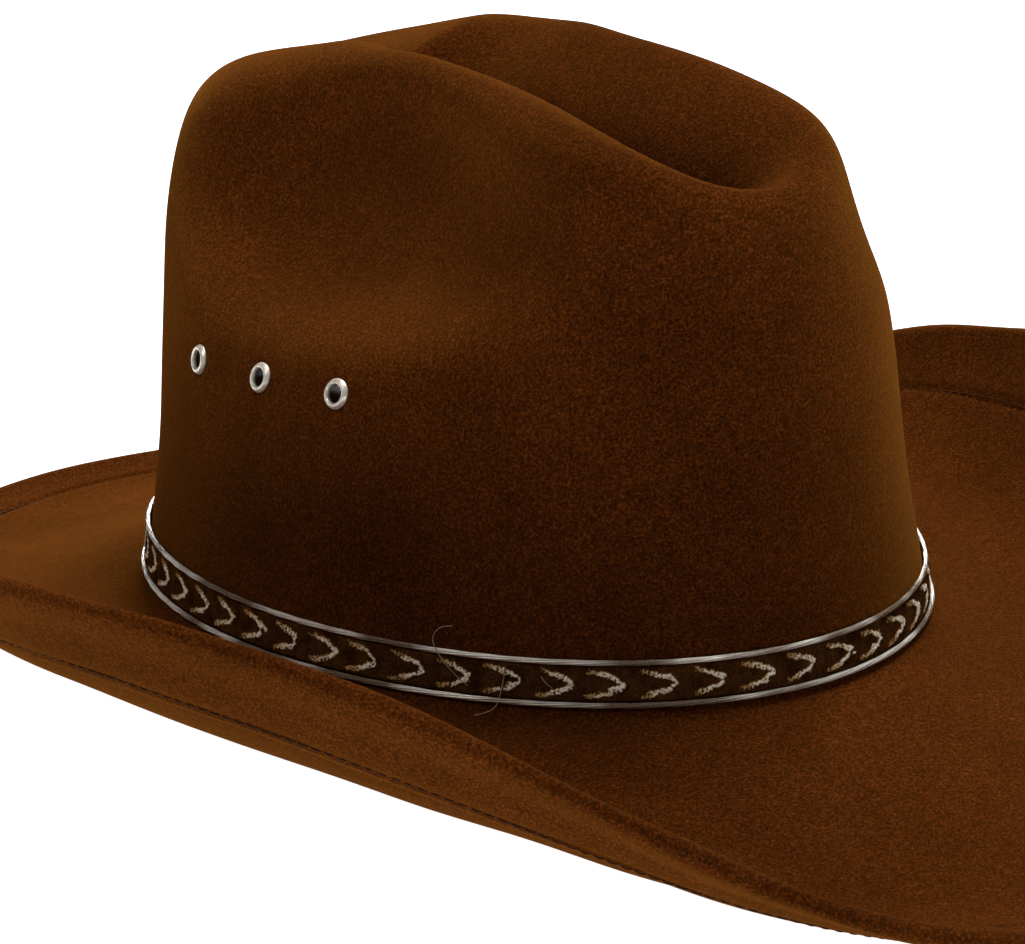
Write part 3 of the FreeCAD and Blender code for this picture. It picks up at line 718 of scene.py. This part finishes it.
def ribbon_piece():
    columns = RIBBON_COLUMNS
    t, _ = even_angles(lambda a: wall_point(RIBBON_MIDDLE, a, 0.0), columns)
    along = np.arange(columns) / columns * CHEVRONS
    outer, back, mask = [], [], []
    for part in np.linspace(-1.0, 1.0, RIBBON_ROWS):
        rise = RIBBON_MIDDLE + part * RIBBON_HALF
        inside = chevron_mask(along, np.full(columns, part))
        place = np.stack([along * CHEVRON_PITCH, rise + 0.0 * along, 0.0 * along], -1)
        ground = GROUND_RELIEF * waves(place, GROUND_PITCH, SEED + 6)
        fuzz = YARN_FUZZ * waves(place, FUZZ_PITCH, SEED + 5)
        edge = RIBBON_EDGE_DROP * smooth_step(RIBBON_EDGE_START, 1.0, abs(part))
        relief = ground + inside * (CHEVRON_RELIEF + fuzz) - edge
        outer.append(wall_point(rise, t, RIBBON_FACE - RIBBON_SINK + relief))
        mask.append(inside)
    for part in (1.0, -1.0):
        rise = RIBBON_MIDDLE + part * RIBBON_HALF
        back.append(wall_point(rise, t, BAND_CLEAR))
        mask.append(np.zeros(columns))
    piece = ring_mesh("chevron_ribbon", outer + back)
    set_attribute(piece, "chevron", np.array(mask))
    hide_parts("hatband_ribbon")
    return piece


CORD_COLUMNS = 1500
CORD_TWIST = 46.0             # length of one turn of the strands
STRANDS = 5
STRAND_RADIUS = 0.27
STRAND_LIFT = 0.36            # from the cord's middle to a strand's, up and down
STRAND_OUT = 0.30             # and in and out


def cord_piece(name, rise, node):
    """An edge cord: fine metallic strands laid side by side, with hardly any twist."""
    heap = Heap()
    t, length = even_angles(lambda a: wall_point(rise, a, 0.0), CORD_COLUMNS)
    off = BAND_CLEAR + CORD_RADIUS
    turns = round(length / CORD_TWIST)
    share = np.arange(CORD_COLUMNS) / CORD_COLUMNS
    for strand in range(STRANDS):
        phase = 2.0 * math.pi * (share * turns + strand / STRANDS)
        lift = STRAND_LIFT * np.sin(phase)
        out = STRAND_OUT * np.cos(phase)
        heap.tube(wall_point(rise + lift, t, off + out), STRAND_RADIUS, closed=True)
    piece = heap.piece(name)
    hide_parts(node)
    return piece


TAB_ROWS = 20
TAB_COLUMNS = 26
TAB_SQUARENESS = 6            # a higher power makes the pad flatter


def join_tab():
    """The folded ribbon end over the band's join: a soft pad with rounded edges."""
    middle = math.radians(JOIN_ANGLE)
    radius = float(np.linalg.norm(wall_point(RIBBON_MIDDLE, middle, 0.0)[:2]))
    v = np.linspace(-1.0, 1.0, TAB_ROWS)[:, None]
    u = np.linspace(-1.0, 1.0, TAB_COLUMNS)[None, :]
    swell = (1.0 - np.abs(u) ** TAB_SQUARENESS) * (1.0 - np.abs(v) ** TAB_SQUARENESS)
    swell = np.sqrt(np.maximum(0.0, swell))
    rise = RIBBON_MIDDLE + v * RIBBON_HALF
    t = middle + u * JOIN_LENGTH / 2.0 / radius
    points = []
    for side in (1.0, -1.0):
        off = RIBBON_FACE + JOIN_CLEAR + JOIN_THICKNESS * (0.5 + side * 0.5 * swell)
        points.append(wall_point(rise, t, off).reshape(-1, 3))
    front = grid_faces(TAB_ROWS, TAB_COLUMNS, closed_columns=False)
    back = front[:, ::-1] + TAB_ROWS * TAB_COLUMNS
    faces = [*front, *back, *border_walls(TAB_ROWS, TAB_COLUMNS)]
    piece = add_mesh("ribbon_join_tab", np.concatenate(points), faces)
    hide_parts("hatband_join_tab")
    return piece


def border_walls(rows, columns):
    """Faces round the border of a grid of points, to a second grid that follows it."""
    border = [(0, j) for j in range(columns - 1)]
    border += [(i, columns - 1) for i in range(rows - 1)]
    border += [(rows - 1, j) for j in range(columns - 1, 0, -1)]
    border += [(i, 0) for i in range(rows - 1, 0, -1)]
    loop = [i * columns + j for i, j in border]
    count = rows * columns
    return [[b, a, a + count, b + count] for a, b in zip(loop, loop[1:] + loop[:1])]


# Loose ends of the thread that holds the band, each as (degrees round the hat, millimetres
# over the break, millimetres off the crown).
LOOSE_ENDS = (
    ((216.0, 17.8, 1.4), (214.2, 17.4, 1.9), (213.2, 14.6, 2.2), (214.6, 11.0, 2.4),
     (216.6, 7.4, 1.8), (218.4, 5.2, 1.5)),
    ((223.6, 9.6, 1.5), (223.2, 6.0, 2.2), (222.8, 2.4, 2.8), (222.0, 0.9, 3.6),
     (220.2, 0.5, 6.0)),
    ((228.4, 8.6, 1.5), (229.0, 7.4, 1.9), (229.9, 6.2, 1.5)),
)
CUT = 0.25                    # share that is cut off a line's corners each time
LOOSE_RADIUS = 0.1
LOOSE_SIDES = 5
TACK_POINTS = 12
TACK_RADIUS = 0.13
TACK_INSET = 0.5              # from the ribbon's edges
TACK_ARCH = 0.5               # how far a tack stands off the ribbon in its middle
TACK_DIP = 0.1                # and how deep its ends go in
TACK_LEAN = 0.008             # radians from a tack's foot to its head


def smooth_line(corners, times=4):
    """A rounded line along a few corners, by cutting the corners again and again."""
    line = np.asarray(corners, float)
    for _ in range(times):
        first = (1.0 - CUT) * line[:-1] + CUT * line[1:]
        second = CUT * line[:-1] + (1.0 - CUT) * line[1:]
        cut = np.stack([first, second], 1).reshape(-1, line.shape[1])
        line = np.concatenate([line[:1], cut, line[-1:]])
    return line


def tacks():
    """The short upright stitches that hold the band."""
    heap = Heap()
    share = np.linspace(0.0, 1.0, TACK_POINTS)
    rise = RIBBON_LOW + TACK_INSET + share * 2.0 * (RIBBON_HALF - TACK_INSET)
    arch = TACK_ARCH * np.sin(math.pi * share) ** 0.5 - TACK_DIP
    for angle in TACK_ANGLES:
        lean = math.radians(angle) + TACK_LEAN * (share - 0.5)
        heap.tube(wall_point(rise, lean, RIBBON_FACE + arch), TACK_RADIUS)
    piece = heap.piece("band_tacks")
    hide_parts("hatband_tacks")
    return piece


def loose_ends():
    """The cut ends of the tacks' thread, left hanging over the band."""
    heap = Heap()
    for corners in LOOSE_ENDS:
        turn, rise, off = smooth_line(corners).T
        heap.tube(wall_point(rise, np.radians(turn), off), LOOSE_RADIUS, LOOSE_SIDES)
    piece = heap.piece("loose_thread_ends")
    return piece


# ======== sweatband ========

SWEAT_FACE = FELT + SWEAT_CLEAR + SWEAT_THICKNESS
SWEAT_COLUMNS = 900
SWEAT_ROWS = 30
SWEAT_RIBS = 14.0             # fine ribs across the strip's height
SWEAT_RIB_DEPTH = 0.06
SWEAT_PULL = 0.15             # how deep its stitching pulls it in
SWEAT_PULL_HALF_WIDTH = 0.8
SWEAT_ROUND = 0.3             # how much its two edges are rounded off,
SWEAT_ROUND_POWER = 0.15      # and how near to the edge, with a lower power nearer
SWEAT_STITCH_LENGTH = 2.8
SWEAT_STITCH_DIP = 0.2


def sweatband_piece():
    t = angles(SWEAT_COLUMNS)
    inner, outer = [], []
    for part in np.linspace(0.0, 1.0, SWEAT_ROWS):
        rise = SWEAT_BOTTOM + part * (SWEAT_TOP - SWEAT_BOTTOM)
        rib = SWEAT_RIB_DEPTH * math.sin(part * 2.0 * math.pi * SWEAT_RIBS)
        pull = SWEAT_PULL * bump(rise - SWEAT_STITCH, SWEAT_PULL_HALF_WIDTH)
        round_edge = SWEAT_ROUND * (1.0 - math.sin(math.pi * part) ** SWEAT_ROUND_POWER)
        face = -SWEAT_FACE + pull + round_edge + rib
        inner.append(wall_point(rise, t, face))
        outer.append(wall_point(rise, t, -FELT - SWEAT_CLEAR))
    piece = ring_mesh("sweatband_strip", outer + inner[::-1])
    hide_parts("sweatband")
    return piece


def sweatband_stitches():
    def line(t, off):
        return wall_point(SWEAT_STITCH, t, -SWEAT_FACE - off)

    node = "sweatband_stitch"
    return stitches("sweatband_thread", line, node, SWEAT_STITCH_LENGTH, SWEAT_STITCH_DIP)


BOW_SIDES = 36
BOW_ROWS = 6
KNOT_ROWS = 11
LOOP_PINCH = 0.55             # a loop's height at the knot, as a share
LOOP_PINCH_SPAN = (-1.0, 0.2) # from its near end to here, as shares of its half length
LOOP_NARROW = 0.65            # the ribbon's width where it would be pinched flat
KNOT_END = 80.0               # degrees of latitude at which the knot's ends are closed
KNOT_BLUNT = (0.5, 0.7)       # lower powers make the knot squarer, across and along
KNOT_FOLDS = 6.0
KNOT_FOLD_DEPTH = 0.06


def bow_loop(side, centre, turn):
    """Rings of one flat loop of ribbon, pinched at the knot: its outside, then its inside."""
    middle = side * (BOW_KNOT / 2.0 + BOW_CLEAR + BOW_LOOP_LENGTH / 2.0)
    pinch = LOOP_PINCH + (1.0 - LOOP_PINCH) * smooth_step(*LOOP_PINCH_SPAN, np.cos(turn) * side)
    wide = BOW_RIBBON * (LOOP_NARROW + (1.0 - LOOP_NARROW) * pinch)
    skins = []
    for inset in (0.0, BOW_THICKNESS):
        x = middle + (BOW_LOOP_LENGTH / 2.0 - inset) * np.cos(turn)
        z = (BOW_LOOP_HEIGHT / 2.0 - inset) * pinch * np.sin(turn)
        depths = np.linspace(-0.5, 0.5, BOW_ROWS)
        skins.append([np.stack([x, depth * wide, z], -1) + centre for depth in depths])
    return np.array(skins[0] + skins[1][::-1])


def bow_knot(centre, turn):
    """Rings of the knot: a rounded block with soft folds."""
    rings = []
    ridge = 1.0 + KNOT_FOLD_DEPTH * np.cos(turn * KNOT_FOLDS)
    for latitude in np.radians(np.linspace(-KNOT_END, KNOT_END, KNOT_ROWS)):
        flat = math.cos(latitude) ** KNOT_BLUNT[0]
        tall = math.copysign(abs(math.sin(latitude)) ** KNOT_BLUNT[1], latitude)
        x = BOW_KNOT / 2.0 * flat * np.cos(turn) * ridge
        y = BOW_RIBBON / 2.0 * flat * np.sin(turn)
        rings.append(np.stack([x, y, 0.0 * turn + BOW_KNOT / 2.0 * tall], -1) + centre)
    return np.array(rings)


def bow():
    """The small bow at the back of the sweatband: two ribbon loops and a knot."""
    heap = Heap()
    off = SWEAT_FACE + BOW_RIBBON
    centre = wall_point(BOW_RISE, math.pi / 2.0, -off)
    turn = angles(BOW_SIDES)
    for side in (-1.0, 1.0):
        heap.rings(bow_loop(side, centre, turn), closed=True)
    heap.rings(bow_knot(centre, turn))
    piece = heap.piece("sweatband_back_bow")
    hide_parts("sweatband_bow")
    return piece


# ======== eyelets ========

def eyelet_outline():
    """The half section of an eyelet as (radius, distance along the axis) points, outside first."""
    outline = []
    for step in range(EYELET_STEPS):
        part = step / (EYELET_STEPS - 1.0)
        radius = EYELET_FLANGE - (EYELET_FLANGE - EYELET_BORE) * part
        swell = math.sin(math.pi * (EYELET_CREST_START + EYELET_CREST_SPAN * part))
        height = (EYELET_DOME - EYELET_CLEAR) * swell ** EYELET_CREST_POWER
        outline.append((radius, EYELET_CLEAR + height))
    bottom = -FELT - WASHER_CLEAR - WASHER_THICKNESS - ROLL_CLEAR
    end = bottom - ROLL_THICKNESS
    # down the bore, round the rolled end and back up the barrel's outside
    outline += [(EYELET_BORE, 0.2), (EYELET_BORE, -1.0), (EYELET_BORE, end + 0.4)]
    outline += [(EYELET_BORE + 0.1, end + 0.12), (EYELET_BORE + 0.4, end)]
    outline += [(ROLL_RADIUS - 0.25, end + 0.08), (ROLL_RADIUS, bottom - 0.25)]
    outline += [(ROLL_RADIUS - 0.1, bottom), (EYELET_BARREL, bottom), (EYELET_BARREL, -1.0)]
    outline += [(EYELET_BARREL, EYELET_CLEAR), (EYELET_FLANGE - EYELET_RIM_IN, EYELET_CLEAR)]
    return outline


def eyelet_piece(name, origin, axis, number):
    side = unit(np.cross(axis, np.array([0.0, 0.0, 1.0])))
    up = np.cross(side, axis)
    turn = angles(EYELET_SIDES)
    draw = np.random.default_rng(SEED + number)
    dent = 1.0 + EYELET_UNEVEN * np.cos(turn * 2.0 + draw.uniform(0.0, 6.0))
    rows = []
    inside = []
    for radius, along in eyelet_outline():
        ring = side * (np.cos(turn) * dent * radius)[:, None]
        ring = ring + up * (np.sin(turn) * dent * radius)[:, None]
        rows.append(ring + origin + axis * along)
        # marks the bore's inside, where the painted shade down the hole goes
        inside.append(float(radius < EYELET_BARREL and along < PAINTED_SHADE_TOP))
    piece = ring_mesh(f"metal_eyelet_{name}", rows)
    set_attribute(piece, "inside", np.repeat(inside, EYELET_SIDES))
    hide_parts(f"eyelet_{name}")
    return piece


# ======== materials ========

def grey(value):
    """A colour, or the same number for a ramp that gives no colour."""
    return (value, value, value)


class Look:
    """A new material, with short ways to add the nodes that feed its shader."""

    def __init__(self, name):
        self.material = bpy.data.materials.new(name)
        self.material.use_nodes = True
        self.nodes = self.material.node_tree.nodes
        self.links = self.material.node_tree.links
        self.shader = self.nodes["Principled BSDF"]
        self.place = self.nodes.new("ShaderNodeTexCoord").outputs["Object"]
        self.normal = None

    def put(self, socket, value):
        """Set what is the same all over the surface, on the shader's own socket."""
        self.shader.inputs[socket].default_value = value

    def feed(self, socket, output):
        """Let a node's output drive one of the shader's sockets."""
        self.links.new(output, self.shader.inputs[socket])

    def noise(self, scale, detail, roughness):
        node = self.nodes.new("ShaderNodeTexNoise")
        node.inputs["Scale"].default_value = scale
        node.inputs["Detail"].default_value = detail
        node.inputs["Roughness"].default_value = roughness
        self.links.new(self.place, node.inputs["Vector"])
        return node.outputs["Fac"]

    def attribute(self, name):
        """A number that the mesh holds for each of its points."""
        node = self.nodes.new("ShaderNodeAttribute")
        node.attribute_name = name
        return node.outputs["Fac"]

    def ramp(self, value, *stops):
        """Colours along a value; stops are (position, colour)."""
        node = self.nodes.new("ShaderNodeValToRGB")
        while len(node.color_ramp.elements) < len(stops):
            node.color_ramp.elements.new(0.5)
        for element, (position, colour) in zip(node.color_ramp.elements, stops):
            element.position = position
            element.color = (*colour, 1.0)
        self.links.new(value, node.inputs["Fac"])
        return node.outputs["Color"]

    def blend(self, mode, first, second):
        """A node that combines two colours."""
        node = self.nodes.new("ShaderNodeMix")
        node.data_type = "RGBA"
        node.blend_type = mode
        self.links.new(first, node.inputs[6])
        self.links.new(second, node.inputs[7])
        return node

    def mix(self, share, first, second):
        node = self.blend("MIX", first, second)
        self.links.new(share, node.inputs["Factor"])
        return node.outputs[2]

    def tint(self, first, second):
        """One colour multiplied by another."""
        node = self.blend("MULTIPLY", first, second)
        node.inputs["Factor"].default_value = 1.0
        return node.outputs[2]

    def product(self, first, second):
        node = self.nodes.new("ShaderNodeMath")
        node.operation = "MULTIPLY"
        self.links.new(first, node.inputs[0])
        self.links.new(second, node.inputs[1])
        return node.outputs[0]

    def relief(self, height, strength, distance):
        """Fine relief on the surface, on top of any relief added before."""
        node = self.nodes.new("ShaderNodeBump")
        node.inputs["Strength"].default_value = strength
        node.inputs["Distance"].default_value = distance
        self.links.new(height, node.inputs["Height"])
        if self.normal is not None:
            self.links.new(self.normal, node.inputs["Normal"])
        self.normal = node.outputs["Normal"]
        self.feed("Normal", self.normal)


def felt_material():
    """Dark brown wool felt: a mottled nap with light and dark specks, and a warm sheen."""
    look = Look("felt")
    blotch = look.noise(28.0, 3.0, 0.55)
    mottle = look.noise(420.0, 3.0, 0.6)
    nap = look.noise(1500.0, 4.0, 0.75)
    base = look.ramp(blotch, (0.3, (0.052, 0.0124, 0.0024)), (0.7, (0.077, 0.0190, 0.0036)))
    speck = look.ramp(nap, (0.30, (0.24, 0.22, 0.20)), (0.5, grey(0.86)), (0.68, (2.4, 2.3, 2.2)))
    patch = look.ramp(mottle, (0.3, grey(0.82)), (0.7, grey(1.15)))
    look.feed("Base Color", look.tint(look.tint(base, speck), patch))
    look.put("Roughness", 1.0)
    look.put("Specular IOR Level", 0.0)
    look.put("Sheen Weight", 0.42)
    look.put("Sheen Roughness", 0.42)
    look.put("Sheen Tint", (0.55, 0.22, 0.035, 1.0))
    look.relief(mottle, 0.15, 0.0006)
    look.relief(nap, 0.7, 0.0004)
    return look.material


def thread_material(name, dark, light):
    look = Look(name)
    strands = look.noise(2600.0, 3.0, 0.7)
    look.feed("Base Color", look.ramp(strands, (0.3, dark), (0.7, light)))
    look.put("Roughness", 0.8)
    look.put("Specular IOR Level", 0.1)
    look.relief(strands, 0.5, 0.0002)
    return look.material


def ribbon_material():
    """Dark woven ground with the bumpy yarn of the chevrons, bright where it is thick."""
    look = Look("ribbon")
    weave = look.noise(2200.0, 3.0, 0.7)
    patch = look.noise(260.0, 2.0, 0.5)
    yarn = look.noise(1100.0, 3.0, 0.7)
    ground = look.ramp(weave, (0.3, (0.020, 0.0070, 0.0020)), (0.7, (0.110, 0.042, 0.0110)))
    shade = look.ramp(patch, (0.35, (0.55, 0.5, 0.5)), (0.65, grey(1.2)))
    lit = look.product(look.attribute("chevron"), yarn)
    dim, warm, bright = (0.22, 0.09, 0.022), (0.56, 0.34, 0.14), (1.0, 0.92, 0.76)
    pale = look.ramp(lit, (0.10, dim), (0.27, warm), (0.44, bright))
    share = look.ramp(lit, (0.05, grey(0.0)), (0.18, grey(1.0)))
    look.feed("Base Color", look.mix(share, look.tint(ground, shade), pale))
    look.put("Roughness", 0.8)
    look.put("Specular IOR Level", 0.0)
    look.relief(weave, 0.5, 0.0002)
    look.relief(yarn, 0.6, 0.0004)
    return look.material


def silver_material():
    """Metal foil wound on thread, worn and dark in patches along the cord."""
    look = Look("silver_cord")
    foil = look.noise(1400.0, 3.0, 0.6)
    wear = look.noise(38.0, 2.0, 0.5)
    colour = look.ramp(foil, (0.3, (0.60, 0.52, 0.43)), (0.65, (1.0, 0.94, 0.85)))
    worn = look.ramp(wear, (0.42, (0.26, 0.20, 0.15)), (0.54, grey(1.0)))
    look.feed("Base Color", look.tint(colour, worn))
    look.feed("Roughness", look.ramp(foil, (0.3, grey(0.36)), (0.7, grey(0.18))))
    look.put("Metallic", 0.25)
    look.relief(foil, 0.3, 0.0002)
    return look.material


def steel_material():
    """The wire in the hem: bare steel, a little duller and darker in spots."""
    look = Look("steel_wire")
    wear = look.noise(900.0, 4.0, 0.65)
    dark, light = (0.315, 0.315, 0.322), (0.45, 0.45, 0.46)
    look.feed("Base Color", look.ramp(wear, (0.35, dark), (0.6, light)))
    look.feed("Roughness", look.ramp(wear, (0.3, grey(0.53)), (0.7, grey(0.35))))
    look.put("Metallic", 1.0)
    look.relief(wear, 0.15, 0.0001)
    return look.material


def nickel_material():
    """Warm, lightly worn nickel, with painted shade down inside the hole: dull and dark there."""
    look = Look("nickel")
    wear = look.noise(900.0, 4.0, 0.65)
    inside = look.attribute("inside")
    metal = look.ramp(wear, (0.35, (0.74, 0.64, 0.50)), (0.6, (0.97, 0.90, 0.78)))
    # painted shade: inside the hole the bore gets a dull dark brown and no metal shine, where it lies
    # in shade
    painted_shade = look.ramp(wear, (0.3, (0.008, 0.004, 0.002)), (0.7, (0.035, 0.020, 0.011)))
    look.feed("Base Color", look.mix(inside, metal, painted_shade))
    look.feed("Roughness", look.ramp(wear, (0.3, grey(0.48)), (0.7, grey(0.30))))
    look.feed("Metallic", look.ramp(inside, (0.2, grey(0.60)), (0.8, grey(0.0))))
    look.relief(wear, 0.15, 0.0001)
    return look.material


def sweatband_material():
    look = Look("sweatband")
    weave = look.noise(1800.0, 3.0, 0.7)
    dark, light = (0.014, 0.0060, 0.0030), (0.055, 0.026, 0.013)
    look.feed("Base Color", look.ramp(weave, (0.3, dark), (0.7, light)))
    look.put("Roughness", 0.85)
    look.put("Specular IOR Level", 0.1)
    look.put("Sheen Weight", 0.08)
    look.put("Sheen Tint", (0.40, 0.22, 0.12, 1.0))
    look.relief(weave, 0.5, 0.0003)
    return look.material


def floor_material():
    look = Look("floor")
    grain = look.noise(3.0, 2.0, 0.5)
    look.feed("Base Color", look.ramp(grain, (0.3, grey(0.50)), (0.7, grey(0.52))))
    look.put("Roughness", 0.9)
    look.put("Emission Color", (1.0, 1.0, 1.0, 1.0))
    look.put("Emission Strength", FLOOR_GLOW)
    return look.material


def give(piece, material):
    piece.data.materials.clear()
    piece.data.materials.append(material)


def give_slots(thing, material):
    """Give a CAD node's every material slot this material."""
    if not thing.material_slots:
        thing.data.materials.append(material)
    for one in thing.material_slots:
        one.material = material


# ======== stage, lights and camera ========

CAMERA_AIM = (-0.0036, 0.0039, 0.0543)
CAMERA_AZIMUTH = -37.53
CAMERA_ELEVATION = 17.74
CAMERA_DISTANCE = 1.2158
CAMERA_ROLL = -0.17
CAMERA_LENS = 179.98
CAMERA_SENSOR = 36.0
CAMERA_FAR = 20.0
WORLD_LIGHT = 0.1
FLOOR_GLOW = 1.0
FLOOR_HALF = 6.0
LAMP_AIM = (0.0, 0.0, 0.07)
# name, azimuth, elevation, distance, size and watts
LAMPS = (
    ("behind", 142.0, 14.0, 1.9, 0.9, 34.0),
    ("behind_high", 100.0, 70.0, 1.9, 0.7, 36.0),
    ("left", -82.0, 56.0, 1.9, 0.8, 8.0),
)


def direction(azimuth, elevation):
    """Azimuth 0 is the front of the hat, and grows towards its left side."""
    a = math.radians(azimuth)
    e = math.radians(elevation)
    return np.array([math.sin(a) * math.cos(e), -math.cos(a) * math.cos(e), math.sin(e)])


def point_at(thing, place, aim, roll=0.0):
    """Put a camera or a lamp at a place and turn it to its aim."""
    thing.location = Vector(place)
    facing = (Vector(aim) - Vector(place)).to_track_quat("-Z", "Y")
    turn = Quaternion((0.0, 0.0, 1.0), math.radians(roll))
    thing.rotation_euler = (facing @ turn).to_euler()


def camera():
    data = bpy.data.cameras.new("camera")
    data.sensor_width = CAMERA_SENSOR
    data.lens = CAMERA_LENS
    data.clip_end = CAMERA_FAR
    thing = add_object("camera", data)
    aim = np.array(CAMERA_AIM)
    place = aim + direction(CAMERA_AZIMUTH, CAMERA_ELEVATION) * CAMERA_DISTANCE
    point_at(thing, place, aim, CAMERA_ROLL)
    bpy.context.scene.camera = thing


def lamp(name, azimuth, elevation, distance, size, power):
    data = bpy.data.lights.new(name, "AREA")
    data.shape = "DISK"
    data.size = size
    data.energy = power
    aim = np.array(LAMP_AIM)
    point_at(add_object(name, data), aim + direction(azimuth, elevation) * distance, aim)


def studio():
    world = bpy.data.worlds.new("studio")
    world.use_nodes = True
    background = world.node_tree.nodes["Background"]
    background.inputs["Color"].default_value = (1.0, 1.0, 1.0, 1.0)
    background.inputs["Strength"].default_value = WORLD_LIGHT
    bpy.context.scene.world = world
    for values in LAMPS:
        lamp(*values)
    corners = [(x * FLOOR_HALF, y * FLOOR_HALF, 0.0) for x, y in ((-1, -1), (1, -1), (1, 1), (-1, 1))]
    mesh = bpy.data.meshes.new("floor")
    mesh.from_pydata(corners, [], [(0, 1, 2, 3)])
    floor = add_object("floor", mesh)
    give(floor, floor_material())
    bpy.context.scene.view_settings.view_transform = "Standard"


# ======== the whole hat ========

def build():
    camera()
    studio()
    thread = thread_material("thread", (0.024, 0.0075, 0.0018), (0.070, 0.024, 0.0060))
    dark_thread = thread_material("tack_thread", (0.035, 0.016, 0.006), (0.10, 0.05, 0.02))
    pale_thread = thread_material("pale_thread", (0.20, 0.13, 0.07), (0.55, 0.42, 0.28))
    ribbon = ribbon_material()
    silver = silver_material()
    nickel = nickel_material()
    steel = steel_material()
    satin = thread_material("bow_ribbon", (0.02, 0.008, 0.005), (0.07, 0.03, 0.018))

    give(felt_piece(), felt_material())
    for piece in hem_stitches():
        give(piece, thread)
    give(ribbon_piece(), ribbon)
    give(cord_piece("silver_cord_top", BAND_TOP - CORD_RADIUS, "hatband_top_cord"), silver)
    give(cord_piece("silver_cord_bottom", BAND_BOTTOM + CORD_RADIUS, "hatband_bottom_cord"), silver)
    give(join_tab(), ribbon)
    give(tacks(), dark_thread)
    give(loose_ends(), pale_thread)
    give(sweatband_piece(), sweatband_material())
    give(sweatband_stitches(), thread)
    give(bow(), satin)
    for number, (name, origin, axis) in enumerate(eyelet_spots()):
        give(eyelet_piece(name, origin, axis, number), nickel)
    for node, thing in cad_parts.items():
        if node.startswith("eyelet_washer"):
            give_slots(thing, nickel)
        if node.startswith("brim_wire"):
            give_slots(thing, steel)


build()
